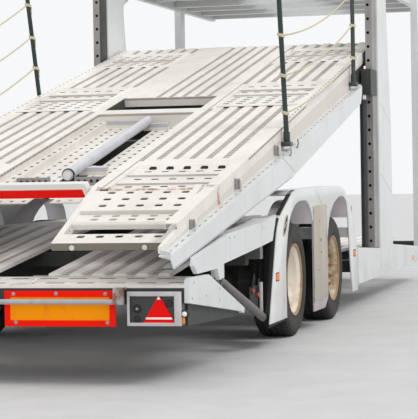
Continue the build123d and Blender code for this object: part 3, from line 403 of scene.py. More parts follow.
def hidden_shade(n):
    """Painted shade on the brackets inside the side arms and in the girders' open rear ends."""
    x, z = n.xyz[0], n.xyz[2]
    bracket = n.both(n.between(x, row(-1.20), row(-1.10)), n.ramp(z, 0.692, 0.690),
                     n.ramp(n.wide(), HALF_WIDTH - 0.0005, HALF_WIDTH - 0.0010),
                     n.ramp(z, 0.58, 0.59))
    tip = n.both(n.ramp(n.deck_u(), -2.60, -3.20), n.ramp(n.deck_w(), -0.104, -0.108),
                 n.ramp(n.wide(), 1.2390, 1.2385), n.ramp(z, 0.60, 0.62))
    return n.either(bracket, tip)


def rim_marks(axle):
    """Rusty lips; the front wheels are rusty all over their dish."""
    lip = lambda n: n.between(n.radius(axle), 0.232, 0.256, 0.003)
    middle = lambda n: n.ramp(n.radius(axle), 0.165, 0.09)
    dish = [rust((128, 100, 62), 0.40, 0.60, 9.0, None, 0.85),
            rust((74, 58, 42), 0.56, 0.66, 26.0, None, 0.8)] if axle == AXLES["front"] else []
    return dish + [shade(lip, (150, 112, 56), 0.9), rust(RUST_DARK, 0.5, 0.62, 20.0, lip, 0.7),
                   shade(middle, (150, 128, 92), 0.6), rust((150, 120, 74), 0.52, 0.7, 7.0, None, 0.7)]


def add_white_paints(m):
    """White panels, the mudguards' sheets and their liners."""
    painted(m, "panel_white", (221, 225, 225), (192, 190, 186), 0.3, 0.4, marks=panel_marks())
    painted(m, "guard_white", (224, 227, 226), (194, 191, 186), 0.3, 0.4,
            marks=sheet_marks() + seam_marks(GUARD_SEAMS))
    # The liners are painted lighter than their own colour: painted light under the arches.
    painted(m, "liner_grey", (240, 235, 240), (196, 186, 186), 0.35, 0.4, 0.1)


def add_track_paints(m):
    """The upper and lower tracks, the platform's and the flaps."""
    cream = (238, 234, 228)
    painted(m, "track_cream", cream, (196, 188, 176), 0.42, 0.5, 0.1, marks=track_marks())
    rib_width, first_rib = 0.1373, 0.190
    rib = lambda n: n.math("FRACT", n.math("MULTIPLY_ADD", n.wide(), 1 / rib_width, -first_rib / rib_width))
    groove = lambda n: n.both(n.between(rib(n), 0.56, 0.94, 0.03), n.ramp(n.wide(), 0.2, 0.21))
    dash = lambda n: n.both(groove(n), n.between(n.cycle(n.xyz[0], 0.055), 0.15, 0.5, 0.08))
    # The lower tracks are painted lighter than their cream, as painted light under the upper deck; their
    # grooves are darker with dirt and painted shade, with painted shade behind the dashes.
    painted(m, "low_track", (250, 244, 241), (224, 214, 208), 0.45, 0.4, 0.05, marks=[
        shade(groove, (204, 196, 192), 0.8), shade(dash, (92, 86, 84), 0.85),
        rust((190, 164, 140), 0.6, 0.74, 4.0, None, 0.5)])
    gutter = lambda n: n.between(n.xyz[2], 2.90, 2.9435, 0.0008)
    painted(m, "plain_cream", (236, 232, 226), (196, 188, 176), 0.42, 0.5, 0.1, marks=[
        shade(gutter, (168, 160, 154), 0.7), PALE_RUST])
    along_flap = lambda n: n.line(-FLAP_COS, -FLAP_SIN,
                                  FLAP_COS * FLAP_HINGE[0] + FLAP_SIN * FLAP_HINGE[1])
    painted(m, "flap_cream", cream, (196, 188, 176), 0.42, 0.5, 0.1, marks=[
        PALE_RUST, rust(RUST, 0.70, 0.76, 12.0, None, 0.7),
        shade(lambda n: n.between(along_flap(n), 0.8385, 0.8460, 0.0005), (128, 122, 110))])


def add_frame_paints(m):
    """The rear beam, frames and steel parts."""
    below = lambda n: n.ramp(n.xyz[2], 0.539, 0.536)
    slit_shade = lambda n: n.both(n.between(n.xyz[2], 0.538, 0.5526, 0.0002),
                            n.between(n.xyz[0], row(-2.955), row(-2.20)))
    # Painted shade on the beam's underside, below z 0.539, and on the walls of its slots.
    painted(m, "beam_cream", (236, 232, 226), (190, 182, 172), 0.42, 0.5, 0.1, marks=[
        rust(RUST, 0.66, 0.74, 9.0, None, 0.7), shade(below, (34, 40, 38)),
        shade(slit_shade, (40, 40, 38))])
    painted(m, "pale_frame", (204, 202, 202), (140, 136, 132), 0.4, 0.6, 0.1)
    # The frame's dark green-grey is painted darker still, as painted shade under the deck.
    painted(m, "frame_grey", (52, 57, 53), (44, 44, 40), 0.55, 0.7, 0.05,
            marks=[rust((92, 66, 44), 0.6, 0.75, 8.0, None, 0.6)])
    painted(m, "steel_grey", (150, 148, 146), (110, 104, 98), 0.4, 0.7, 0.1,
            marks=[rust(RUST_DARK, 0.66, 0.76, 9.0, None, 0.6)])
    painted(m, "dark_steel", (44, 48, 48), (76, 70, 64), 0.5, 0.6, 0.1)
    painted(m, "strut_grey", (106, 100, 96), (80, 74, 68), 0.45, 0.6, 0.15)
    painted(m, "strip_beige", (184, 175, 159), (156, 146, 132), 0.4, 0.6, marks=[
        rust((72, 66, 60), 0.62, 0.72, 5.0, None, 0.8)])
    painted(m, "rod_chrome", (206, 206, 206), (160, 160, 160), 0.2, 0.3, metal=0.9)
    painted(m, "zinc", (164, 164, 166), (112, 108, 104), 0.35, 0.6, 0.1)


def add_tail_finishes(m):
    """Marking plates, lamps, the rear bar and the tail beam with its slanted stripe."""
    inside = lambda n: n.both(n.between(n.wide(), 0.252, 0.826, 0.0015),
                              n.between(n.xyz[2], 0.361, 0.489, 0.0015))
    painted(m, "plate_orange", (255, 24, 0), (232, 30, 6), 0.5, 0.3, 0.0, spec=0.12, marks=[
        shade(inside, (255, 156, 0)), rust((226, 124, 16), 0.55, 0.7, 12.0, inside, 0.5)])
    painted(m, "lamp_amber", (250, 138, 4), (222, 112, 8), 0.35, 0.4, 0.15)
    painted(m, "reflector_red", (240, 2, 2), (210, 4, 8), 0.35, 0.3, 0.0, spec=0.15)
    rim = lambda n: n.ramp(n.line(1, 0, MID + 2.987), 0.001, -0.001)
    painted(m, "lamp_grey", (34, 42, 40), (58, 58, 54), 0.4, 0.5, 0.3, marks=[
        shade(rim, (196, 196, 196))])
    painted(m, "lens_white", (240, 240, 236), (214, 212, 206), 0.15, 0.3, 0.8)
    end = lambda n: n.ramp(n.wide(), 0.855, 0.875)
    painted(m, "bar_grey", (176, 176, 180), (128, 124, 122), 0.3, 0.6, 0.2, marks=[
        rust(RUST_DARK, 0.4, 0.56, 14.0, end, 0.9)])
    upper = lambda n: n.ramp(n.xyz[2], 1.064, 1.070)
    slant = lambda n: n.ramp(n.math("MULTIPLY_ADD", n.xyz[2], 0.404, n.wide()), 0.7560, 0.7580)
    ends, feet = lambda n: n.ramp(n.wide(), 0.2, 0.36), lambda n: n.ramp(n.wide(), 0.355, 0.372)
    painted(m, "stripe_red", (240, 16, 2), (206, 18, 8), 0.45, 0.3, 0.0, spec=0.15, marks=[
        rust((226, 150, 140), 0.62, 0.70, 11.0, ends, 0.8),
        shade(lambda n: n.either(upper(n), slant(n)), (234, 232, 228)),
        rust(RUST, 0.56, 0.68, 16.0, feet)])
    painted(m, "coupling_red", (170, 60, 52), (120, 50, 44), 0.4, 0.4, 0.3)


def add_deck_finishes(m):
    """The tube and its bracket, the posts and the ropes."""
    cradle = lambda n: n.ramp(n.deck_w(), -0.0835, -0.0845)
    painted(m, "tube_grey", (196, 198, 206), (150, 146, 146), 0.28, 0.45, 0.3, marks=[
        shade(cradle, (226, 222, 214)), rust((196, 160, 120), 0.6, 0.74, 5.0, None, 0.6)])
    painted(m, "yellow_mark", (222, 170, 50), (180, 130, 40), 0.4, 0.4, 0.1)
    painted(m, "post_green", (24, 42, 38), (58, 70, 66), 0.4, 0.5, 0.3, marks=[
        rust((120, 128, 124), 0.6, 0.68, 18.0, None, 0.6)])
    m["rope"] = rope_material()


def add_wheel_finishes(m):
    """Tyres, rims, nuts and rubber."""
    m["tyre"] = tyre_material()
    rims = {"rear": (236, 228, 216), "front": (206, 194, 172)}
    for end_name, axle in AXLES.items():
        painted(m, "rim_" + end_name, rims[end_name], (186, 168, 136), 0.4, 0.6, 0.2,
                marks=rim_marks(axle))
    painted(m, "nut_gold", (158, 122, 66), (104, 78, 44), 0.4, 0.7, 0.1)
    painted(m, "flap_grey", (188, 181, 186), (146, 138, 138), 0.55, 0.6, 0.0)
    painted(m, "rubber_black", (26, 26, 28), (54, 50, 48), 0.6, 0.6, 0.0)


def rope_material():
    """Twisted pale rope."""
    n = Nodes("rope")
    wave = n.add("ShaderNodeTexWave", {"Vector": n.place, "Scale": 55.0, "Distortion": 1.0},
                 wave_type="BANDS", bands_direction="DIAGONAL").outputs["Fac"]
    n.set(color=n.mix(n.ramp(n.noise(30.0, 4.0), 0.3, 0.7),
                      n.mix(wave, rgb(196, 184, 150), rgb(232, 224, 196)), rgb(206, 196, 166)),
          rough=0.85, normal=n.bump(wave, 0.6, 0.002))
    return n.mat


def tyre_material():
    """Dusty rubber, with painted shade on the tread: darker and without dust."""
    n = Nodes("tyre")
    dust = n.ramp(n.noise(5.0, 6.0), 0.35, 0.75)
    fine = n.ramp(n.noise(45.0, 4.0), 0.35, 0.75)
    wall = n.mix(n.both(dust, 0.6), n.mix(fine, rgb(34, 33, 32), rgb(50, 48, 46)),
                 rgb(72, 68, 60))
    # Painted shade: inside the sidewall the tread is plain dark rubber.
    n.set(color=n.mix(n.ramp(n.wide(), 1.214, 1.226), rgb(36, 34, 35), wall),
          rough=n.math("MULTIPLY_ADD", fine, 0.12, 0.74), normal=n.bump(n.noise(160.0, 3.0), 0.12, 0.001))
    return n.mat


def dress_cad(m):
    """A finish for each node that stays."""
    finish = {entry["node"]: entry["material_slot"] for entry in frame["record"]["subparts"]}
    finish.update(platform_tracks="plain_cream", rear_beam="beam_cream", lower_tracks="low_track",
                  deck_tube="tube_grey", ramp_end_left="flap_cream", ramp_end_right="flap_cream")
    for wheel, end_name, _, _ in WHEELS:
        finish["rim_" + wheel] = "rim_" + end_name
    for name, key in finish.items():
        obj = frame["nodes"][name]
        for index in range(len(obj.material_slots)):
            obj.material_slots[index].material = m[key]


# Pieces in mesh code


class Shape:
    """Closed solids gathered into one mesh."""

    def __init__(self):
        self.bm = bmesh.new()

    def solid(self, rings, bevel=0.0, closed=False):
        """A solid through rings of points; a closed one joins its last ring to its first."""
        bm = self.bm
        rows = [[bm.verts.new(p) for p in ring] for ring in rings]
        faces = []
        count = len(rows[0])
        pairs = list(zip(rows, rows[1:])) + ([(rows[-1], rows[0])] if closed else [])
        for a, b in pairs:
            for i in range(count):
                j = (i + 1) % count
                faces.append(bm.faces.new((a[i], a[j], b[j], b[i])))
        if not closed:
            faces.append(bm.faces.new(rows[0][::-1]))
            faces.append(bm.faces.new(rows[-1]))
        bmesh.ops.recalc_face_normals(bm, faces=faces)
        if bevel:
            edges = {e for f in faces for e in f.edges if e.calc_face_angle(0) > 0.6}
            bmesh.ops.bevel(bm, geom=list(edges), offset=bevel, segments=2, profile=0.5,
                            affect="EDGES", clamp_overlap=True)

    def plate(self, points, y0, y1, bevel=0.0):
        """A face of (x, z) points drawn from y0 to y1."""
        self.solid([[(x, y0, z) for x, z in points], [(x, y1, z) for x, z in points]], bevel)

    def box(self, x0, x1, y0, y1, z0, z1, bevel=0.0):
        """An upright block."""
        self.plate([(x0, z0), (x1, z0), (x1, z1), (x0, z1)], y0, y1, bevel)

    def strip(self, path, thick, y0, y1, bevel=0.0):
        """A sheet bent along (x, z) points, thick to their right."""
        self.plate(path + shifted(path, thick)[::-1], y0, y1, bevel)

    def tube(self, path, radius, sides=12, closed=False):
        """A round bar along a path."""
        path = [Vector(p) for p in path]
        rings = []
        side = None
        for i, p in enumerate(path):
            a = path[i - 1] if i or closed else p
            b = path[(i + 1) % len(path)] if i + 1 < len(path) or closed else p
            ahead = (b - a).normalized()
            if side is None:
                side = ahead.orthogonal().normalized()
            side = (side - ahead * side.dot(ahead)).normalized()
            up = ahead.cross(side)
            rings.append([p + (side * c + up * s) * radius for c, s in circle(sides)])
        self.solid(rings, closed=closed)

    def ring(self, axle, steps, outline):
        """A ring about an axle from (y, radius) pairs, given for each step of its turn."""
        self.solid([[(row(axle) + r * s, y, AXLE_Z + r * c) for y, r in outline(k)]
                    for k, (c, s) in enumerate(circle(steps))], closed=True)

    def turned(self, base, axis, profile, sides=24):
        """A turned solid from (distance along the axis, radius) pairs."""
        base, axis = Vector(base), Vector(axis).normalized()
        side = axis.orthogonal().normalized()
        up = axis.cross(side)
        self.solid([[base + axis * d + (side * c + up * s) * max(r, 1e-4) for c, s in circle(sides)]
                    for d, r in profile])

    def done(self, name, body, slot, material, replaces=(), smooth=35):
        """The gathered mesh as a piece that rides a body."""
        mesh = bpy.data.meshes.new(name)
        self.bm.to_mesh(mesh)
        self.bm.free()
        mesh.materials.append(material)
        obj = linked(name, mesh)
        mesh.polygons.foreach_set("use_smooth", [True] * len(mesh.polygons))
        mesh.set_sharp_from_angle(angle=math.radians(smooth))
        if replaces:
            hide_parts(*replaces)
        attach(obj, body)


def shifted(path, by):
    """The path moved sideways, to its right."""
    out = []
    for i, (x, z) in enumerate(path):
        ax, az = path[max(i - 1, 0)]
        bx, bz = path[min(i + 1, len(path) - 1)]
        length = math.hypot(bx - ax, bz - az)
        out.append((x + (bz - az) / length * by, z - (bx - ax) / length * by))
    return out


def rounded(points, radii, steps=5):
    """Points with their corners rounded; radii of 0 stay sharp."""
    out = []
    for i, p in enumerate(points):
        r = radii[i] if isinstance(radii, (list, tuple)) else radii
        if not r or i in (0, len(points) - 1):
            out.append(p)
            continue
        a, b = points[i - 1], points[i + 1]
        da, db = math.dist(p, a), math.dist(p, b)
        cut = min(r, da * 0.48, db * 0.48)
        start = (p[0] + (a[0] - p[0]) * cut / da, p[1] + (a[1] - p[1]) * cut / da)
        end = (p[0] + (b[0] - p[0]) * cut / db, p[1] + (b[1] - p[1]) * cut / db)
        for k in range(steps + 1):
            t = k / steps
            out.append(tuple((1 - t) ** 2 * start[j] + 2 * t * (1 - t) * p[j] + t * t * end[j]
                             for j in (0, 1)))
    return out


def mm(points):
    """Millimetres from the rear axle to metres in the row's frame."""
    return [(row(x / 1000), z / 1000) for x, z in points]


# Mudguards: outer line from the rear foot over the top to the front foot, and the arches
GUARD_LINE = [(-989, 165), (-940, 280), (-712, 826), (-190, 1022), (1560, 1031), (1770, 980),
              (2060, 780), (2245, 530), (2245, 168)]
GUARD_ROUND = [0.0, 0.06, 0.15, 0.12, 0.09, 0.12, 0.12, 0.04, 0.0]
REAR_ARCH = [(-472, 166), (-480, 560), (-400, 740), (-325, 842), (-150, 925), (10, 946), (250, 945),
             (400, 868), (452, 780), (452, 240)]
FRONT_ARCH = [(-456, 240), (-456, 600), (-390, 730), (-320, 822), (-150, 905), (60, 950), (240, 949),
              (390, 900), (450, 760), (522, 400), (604, 168)]
GUARD_IN, GUARD_OUT = 1.257, 1.269
LINER_IN, LINER_OUT = 1.105, 1.262
GUARD_BRACKETS = [(0.708, 0.096, 0.650, 0.735), (1.950, 0.070, 0.610, 0.690)]


def add_mudguards(m):
    """Folded outer sheets with rolled arch edges, top skirts and grey liners."""
    top = rounded(mm(GUARD_LINE), GUARD_ROUND)
    rear = rounded(mm(REAR_ARCH), 0.07)
    front = rounded(mm([(x + 1416, z) for x, z in FRONT_ARCH]), 0.07)
    for side, s in SIDES:
        shell, liner, edge = Shape(), Shape(), Shape()
        shell.plate(top + front[::-1] + rear[::-1], s * GUARD_IN, s * GUARD_OUT, bevel=0.005)
        shell.strip([p for p in top if p[1] > 0.985], 0.012, s * 1.110, s * LINER_OUT, bevel=0.003)
        for arch in (rear, front):
            shell.tube([(x, s * LINER_OUT, z) for x, z in shifted(arch, -0.004)], 0.0065, 8)
        for x, width, z0, z1 in GUARD_BRACKETS:
            shell.box(row(x) - width / 2, row(x) + width / 2, s * 1.258, s * 1.10, z0, z1, 0.004)
        shell.box(row(-1.11), row(-0.77), s * 1.120, s * 1.155, 0.600, 0.645, 0.004)
        for x in (-0.62, 0.705, 2.12):
            shell.box(row(x) - 0.02, row(x) + 0.02, s * 1.240, s * 1.258, 0.30, 0.86, 0.003)
        shell.done("guard_shell_" + side, "chassis", "panel_white", m["guard_white"], ("mudguards",))
        for arch in (rear, front):
            liner.strip([p for p in arch if p[1] > 0.755], -0.006, s * LINER_IN, s * LINER_OUT)
        for part in ([p for p in top[1:-1] if p[0] < row(0.5)], [p for p in top[1:-1] if p[0] > row(1.5)]):
            edge.strip(part, 0.010, s * 1.228, s * 1.258, 0.002)
        edge.plate(mm([(-972, 140), (-500, 152), (-500, 215), (-945, 215)]), s * 1.244, s * 1.2565, 0.002)
        edge.done("guard_edge_" + side, "chassis", "panel_white", m["rubber_black"], ("mudguards",))
        liner.done("guard_liner_" + side, "chassis", "panel_white", m["liner_grey"], ("mudguards",))


def add_handle(m, side, s):
    """The oval grip in a mudguard, with a flat dark oval as painted shade for its recess."""
    x, z = row(-0.49), 0.79
    ring, recess, grip = Shape(), Shape(), Shape()
    oval = [(x + 0.063 * c + 0.030 * t, z + 0.062 * t + 0.025 * c) for c, t in circle(28)]
    ring.tube([(px, s * 1.268, pz) for px, pz in oval], 0.0068, 8, closed=True)
    ring.done("handle_ring_" + side, "chassis", "panel_white", m["strip_beige"])
    # A flat dark oval: painted shade for the grip's recess.
    recess.plate(oval, s * 1.262, s * 1.2702)
    recess.done("handle_recess_shade_" + side, "chassis", "panel_white", m["rubber_black"])
    grip.tube([(x - 0.035, s * 1.268, z - 0.02), (x - 0.02, s * 1.2695, z - 0.008),
               (x + 0.02, s * 1.2695, z + 0.012), (x + 0.035, s * 1.268, z + 0.022)], 0.005, 8)
    grip.done("handle_grip_" + side, "chassis", "panel_white", m["zinc"])


# Plates between the wheels, in millimetres: outlines, holes as (x, z, radius), and the screws' places
MID_PLATE = [(445, 203), (959, 212), (952, 880), (938, 897), (452, 897), (441, 885)]
MUD_FLAP = [(447, 134), (848, 132), (872, 142), (965, 196), (965, 240), (447, 240)]
PLATE_HOLES = [(672, 782, 10), (716, 641, 11), (716, 552, 10), (623, 425, 8), (800, 700, 5), (560, 600, 5)]
SCREWS = [(x, z) for x in (0.458, 0.942) for z in (0.225, 0.440, 0.660, 0.880)]
SCREW_HEAD = [(0, 0.008), (0.0018, 0.008), (0.0026, 0.005), (0.0029, 0.001)]


def add_strips(m):
    """Plates between the wheels with holes and screws, the mud flap below each, and the grips."""
    line, flap = mm(MID_PLATE), mm(MUD_FLAP)
    for side, s in SIDES:
        plate, rubber, dark, head = (Shape() for _ in range(4))
        plate.plate(line, s * 1.2690, s * 1.2732, bevel=0.001)
        plate.done("mid_plate_" + side, "chassis", "strip_beige", m["strip_beige"], ("mid_strips",))
        rubber.plate(flap, s * 1.2570, s * 1.2685, bevel=0.0015)
        rubber.done("mud_flap_" + side, "chassis", "strip_beige", m["flap_grey"], ("mid_strips",))
        # The holes are flat dark discs: painted shade behind the plate.
        for x, z, r in PLATE_HOLES:
            r /= 1000
            dark.turned((row(x / 1000), s * 1.2728, z / 1000), (0, s, 0),
                        [(0, r), (0.0008, r), (0.0008, r * 0.6)], 14)
        dark.done("plate_hole_shade_" + side, "chassis", "strip_beige", m["rubber_black"])
        for x, z in SCREWS:
            head.turned((row(x), s * 1.2720, z), (0, s, 0), SCREW_HEAD, 10)
        head.done("plate_screws_" + side, "chassis", "strip_beige", m["zinc"])
        add_handle(m, side, s)


# Side lamps: x and z of the middle, and how far out the lens stands
SIDE_LAMPS = [(-0.756, 0.460, 1.2735), (2.103, 0.477, 1.2735), (5.284, 0.273, 1.2748)]


def add_side_lamps(m):
    """Amber lenses with ribs in dark seats."""
    for side, s in SIDES:
        seat, lens = Shape(), Shape()
        for at, z, out in SIDE_LAMPS:
            x = row(at)
            seat.box(x - 0.050, x + 0.050, s * 1.2640, s * (out - 0.003), z - 0.029, z + 0.029, 0.001)
            lens.box(x - 0.044, x + 0.044, s * 1.2660, s * out, z - 0.022, z + 0.022, 0.001)
            for k in range(-3, 4):
                rib = x + 0.012 * k
                lens.box(rib - 0.002, rib + 0.002, s * (out - 0.001), s * (out + 2e-4), z - 0.019, z + 0.019)
        seat.done("lamp_seats_" + side, "chassis", "lamp_amber", m["rubber_black"], ("side_lamps",))
        lens.done("lamp_lenses_" + side, "chassis", "lamp_amber", m["lamp_amber"], ("side_lamps",))


# A tyre's outer half profile: distance from its middle plane and radius
TYRE_HALF = [(0.0, 0.396), (0.018, 0.396), (0.0195, 0.3865), (0.0255, 0.3865), (0.027, 0.3958),
             (0.056, 0.3955), (0.0575, 0.3865), (0.0635, 0.3865), (0.065, 0.395), (0.088, 0.3935),
             (0.098, 0.3915), (0.1065, 0.386), (0.1115, 0.377), (0.1140, 0.370), (0.1165, 0.3685),
             (0.1172, 0.360), (0.1205, 0.350), (0.1216, 0.345), (0.1212, 0.342), (0.1222, 0.330),
             (0.1222, 0.310), (0.1195, 0.288), (0.1150, 0.272), (0.1128, 0.2665), (0.1135, 0.2640),
             (0.1110, 0.258), (0.1060, 0.2530)]


def tread_radius(k, a, r):
    """The tyre's radius at a step of its turn, with shoulder blocks and cuts across its ribs."""
    if k % 4 == 0 and 0.062 < abs(a) < 0.1145 and r > 0.369:
        return r - 0.007
    if k % 8 == 4 and abs(a) < 0.056 and r > 0.39:
        return r - 0.002
    return r


def add_tyres(m):
    """Ribbed tyres with shoulder blocks and ringed sidewalls."""
    profile = [(-a, r) for a, r in TYRE_HALF[:0:-1]] + TYRE_HALF
    for wheel, _, axle, s in WHEELS:
        tyre, centre = Shape(), s * (1.231 - 0.1225)
        tyre.ring(axle, 240, lambda k: [(centre + a, tread_radius(k, a, r)) for a, r in profile])
        tyre.done("tread_" + wheel, "wheel_" + wheel, "tyre", m["tyre"], ("tyre_" + wheel,), 50)


# Nuts: how deep the ring's face lies in the rim, the circle of the nuts, and a nut's outline
RIM_EDGE_Y = 1.225
NUT_DEPTH = {"rear": 0.118, "front": 0.062}
RING_DEPTH = 0.134
NUT_COUNT = 10
NUT_CIRCLE = 0.1375
NUT = [(0, 0.021), (0.004, 0.021), (0.006, 0.0165), (0.024, 0.0165), (0.027, 0.013), (0.0272, 0.008),
       (0.034, 0.008), (0.036, 0.005)]


def add_wheel_nuts(m):
    """The nut ring with its nuts, and the valve."""
    for wheel, end_name, axle, s in WHEELS:
        ring, nuts = Shape(), Shape()
        face, back = s * (RIM_EDGE_Y - NUT_DEPTH[end_name]), s * (RIM_EDGE_Y - RING_DEPTH)
        x, z = row(axle), AXLE_Z
        length = abs(face - back)
        outer = [(0, 0.168), (length * 0.5, 0.165), (length - 0.004, 0.160), (length, 0.156)]
        inner = [(length, 0.112), (length - 0.008, 0.106), (length * 0.3, 0.103), (0, 0.103)]
        ring.ring(axle, 48, lambda k: [(back + s * d, r) for d, r in outer + inner])
        ring.done("nut_ring_" + wheel, "wheel_" + wheel, "rim_cream", m["rim_" + end_name])
        for k in range(NUT_COUNT):
            t = 2 * math.pi * (k + 0.3) / NUT_COUNT
            nuts.turned((x + NUT_CIRCLE * math.sin(t), face - s * 0.002, z + NUT_CIRCLE * math.cos(t)),
                        (0, s, 0), NUT, 6)
        nuts.tube([(x + 0.18, s * 1.135, z - 0.12), (x + 0.186, s * 1.165, z - 0.126),
                   (x + 0.188, s * 1.20, z - 0.130)], 0.004, 8)
        nuts.done("wheel_nuts_" + wheel, "wheel_" + wheel, "rim_cream", m["nut_gold"])


# Posts of the hand rope: foot x and z, side, lean to the rear in degrees, heights of the knots
POSTS = [(-0.126, 1.362, -1, 10.5, (0.195, 0.455, 0.733)), (2.511, 1.881, -1, 1.0, (0.197, 0.466, 0.735)),
         (-1.054, 1.188, 1, 12.0, (0.195, 0.455, 0.730)), (1.586, 1.699, 1, 17.0, (0.336, 0.588, 0.855))]
POST_Y = 1.2105
POST_LONG = 1.035
POST_RADIUS = 0.0175
SOCKET_RADIUS = 0.0235
ROPE_RADIUS = 0.006


def post_point(post, t):
    """A point on a post's axis, t above its foot."""
    x, z, s, lean, _ = post
    a = math.radians(lean)
    return Vector((row(x) - t * math.sin(a), s * POST_Y, z + t * math.cos(a)))


def rope_post(posts, post):
    """A leaning post with a rounded top in its socket and foot."""
    posts.tube([post_point(post, t) for t in (-0.030, 0.3, 0.7, POST_LONG - 0.006)], POST_RADIUS, 20)
    posts.turned(post_point(post, POST_LONG - 0.008), post_point(post, 1) - post_point(post, 0),
                 [(0, 0.0178), (0.004, 0.0178), (0.008, 0.013)], 20)
    posts.tube([post_point(post, t) for t in (-0.028, 0.03, 0.062)], SOCKET_RADIUS, 20)
    foot, y = post_point(post, -0.010), post[2] * POST_Y
    posts.box(foot.x - 0.045, foot.x + 0.045, y - 0.032, y + 0.032, foot.z - 0.028, foot.z + 0.004, 0.003)


def rope_knot(wraps, post, height):
    """Two turns of rope round a post, and the loose end inside it."""
    for k in range(2):
        at = post_point(post, height - 0.006 + 0.011 * k)
        wraps.tube([at + Vector((0.0215 * c, 0.0215 * s, 0.006 * s)) for c, s in circle(18)], 0.0062, 8,
                   closed=True)
    at, s = post_point(post, height), post[2]
    loose = ((0.02, -0.012, 0), (0.032, -0.016, -0.02), (0.030, -0.014, -0.055), (0.034, -0.016, -0.075))
    wraps.tube([at + Vector((x, s * y, z)) for x, y, z in loose], 0.0055, 8)


def add_posts(m):
    """Posts with their knots, and three ropes on each side that sag between them."""
    posts, ropes, wraps = Shape(), Shape(), Shape()
    for post in POSTS:
        rope_post(posts, post)
        for height in post[4]:
            rope_knot(wraps, post, height)
    for rear, front in (POSTS[:2], POSTS[2:]):
        for i in range(3):
            a, b = post_point(rear, rear[4][i]), post_point(front, front[4][i])
            a.x += 0.02
            b.x -= 0.02
            sag = 0.055 + 0.01 * i
            ropes.tube([a.lerp(b, t) - Vector((0, 0, 4 * sag * t * (1 - t)))
                        for t in (k / 36 for k in range(37))], ROPE_RADIUS, 8)
    posts.done("hand_posts", "upper_deck", "post_green", m["post_green"], ("rope_posts",))
    wraps.done("post_knots", "upper_deck", "post_green", m["rope"])
    ropes.done("hand_ropes", "upper_deck", "post_green", m["rope"])


# Tail: faces of the plates' rim, the lamp boxes' frames and their glass, along x
PLATE_FACE = row(-2.981)
BOX_FRAME = (row(-2.9970), row(-2.9900))
GLASS_FACE = row(-2.9780)
PLATE_SCREWS = [(0.271, 0.505), (0.520, 0.507), (0.804, 0.505), (0.283, 0.349), (0.815, 0.349)]
ROUND_LAMPS = [(0.985, 0.425, 0.026), (0.985, 0.370, 0.020), (1.165, 0.455, 0.022)]
TRIANGLE_Y = 1.110
MARKER_LAMP = (row(-2.930), 1.2540, 0.398)
COUPLINGS = [(-1.219, 0.400), (-1.084, 0.365)]
REARWARD = (-1, 0, 0)


def plate_screws(s, zinc):
    """Domed heads that hold the marking plates."""
    for y, z in PLATE_SCREWS:
        zinc.turned((PLATE_FACE, s * y, z), REARWARD,
                    [(0, 0.011), (0.002, 0.011), (0.005, 0.008), (0.0065, 0.003)], 14)


def lamp_box_details(s, zinc, frames, dark, white):
    """Frame edges, round lamps, and the white bar and tip of the triangle."""
    x0, x1 = BOX_FRAME
    frames.box(x0, x1, s * 1.198, s * 1.238, 0.336, 0.517, 0.004)
    frames.box(x0, x1, s * 0.934, s * 1.1985, 0.494, 0.519, 0.004)
    frames.tube([(row(-2.992), s * 0.94, 0.346), (row(-2.992), s * 1.21, 0.346)], 0.005, 8)
    for y, z, r in ROUND_LAMPS:
        dark.turned((GLASS_FACE, s * y, z), REARWARD,
                    [(0, r), (0.004, r), (0.007, r * 0.85), (0.008, r * 0.3)], 20)
    y, z, _ = ROUND_LAMPS[0]
    zinc.turned((GLASS_FACE - 0.006, s * y, z), REARWARD, [(0, 0.008), (0.003, 0.007)], 12)
    x = row(-2.9895)
    white.box(x - 0.0003, x + 0.002, s * (TRIANGLE_Y - 0.074), s * (TRIANGLE_Y + 0.074), 0.368, 0.379, 0.0006)
    tip = [(x, s * (TRIANGLE_Y - 0.011), 0.476), (x, s * (TRIANGLE_Y + 0.011), 0.476),
           (x, s * TRIANGLE_Y, 0.496)]
    white.solid([tip, [(x + 0.002, y, z) for x, y, z in tip]])


def marker_lamp(s, frames, dark, white):
    """The round corner lamp on its arm, and feet of the rear bar."""
    x, y, z = MARKER_LAMP
    dark.turned((x, s * y, z), REARWARD, [(0, 0.014), (0.012, 0.019), (0.056, 0.020), (0.060, 0.0185),
                                          (0.060, 0.014)], 24)
    white.turned((x - 0.058, s * y, z), REARWARD, [(0, 0.014), (0.004, 0.0138), (0.008, 0.010),
                                                   (0.0095, 0.003)], 24)
    frames.tube([(x - 0.015, s * 1.232, z), (x - 0.015, s * 1.250, z)], 0.009, 12)
    for y in (0.25, 0.70):
        frames.box(row(-2.19), row(-2.15), s * (y - 0.02), s * (y + 0.02), 0.520, 0.560, 0.003)


def brake_couplings(s, frames, dark, amber, red):
    """Two hoses with red couplings on their plate, behind the strut."""
    dark.box(row(-1.26), row(-1.04), s * 1.196, s * 1.202, 0.265, 0.425, 0.002)
    for x, z in COUPLINGS:
        dark.tube([(row(x), s * 1.205, z + 0.01), (row(x) + 0.01, s * 1.212, z + 0.06),
                   (row(x) + 0.06, s * 1.205, z + 0.10), (row(x) + 0.13, s * 1.190, z + 0.08),
                   (row(x) + 0.15, s * 1.185, z - 0.02)], 0.006, 8)
    frames.box(row(-0.975), row(-0.955), s * 1.196, s * 1.215, 0.240, 0.440, 0.003)
    amber.box(row(-2.985), row(-2.962), s * 1.2375, s * 1.2500, 0.345, 0.380, 0.003)
    for x, z in COUPLINGS:
        red.turned((row(x), s * 1.200, z), (0, s, 0),
                   [(0, 0.013), (0.004, 0.015), (0.016, 0.015), (0.020, 0.011), (0.021, 0.005)], 18)


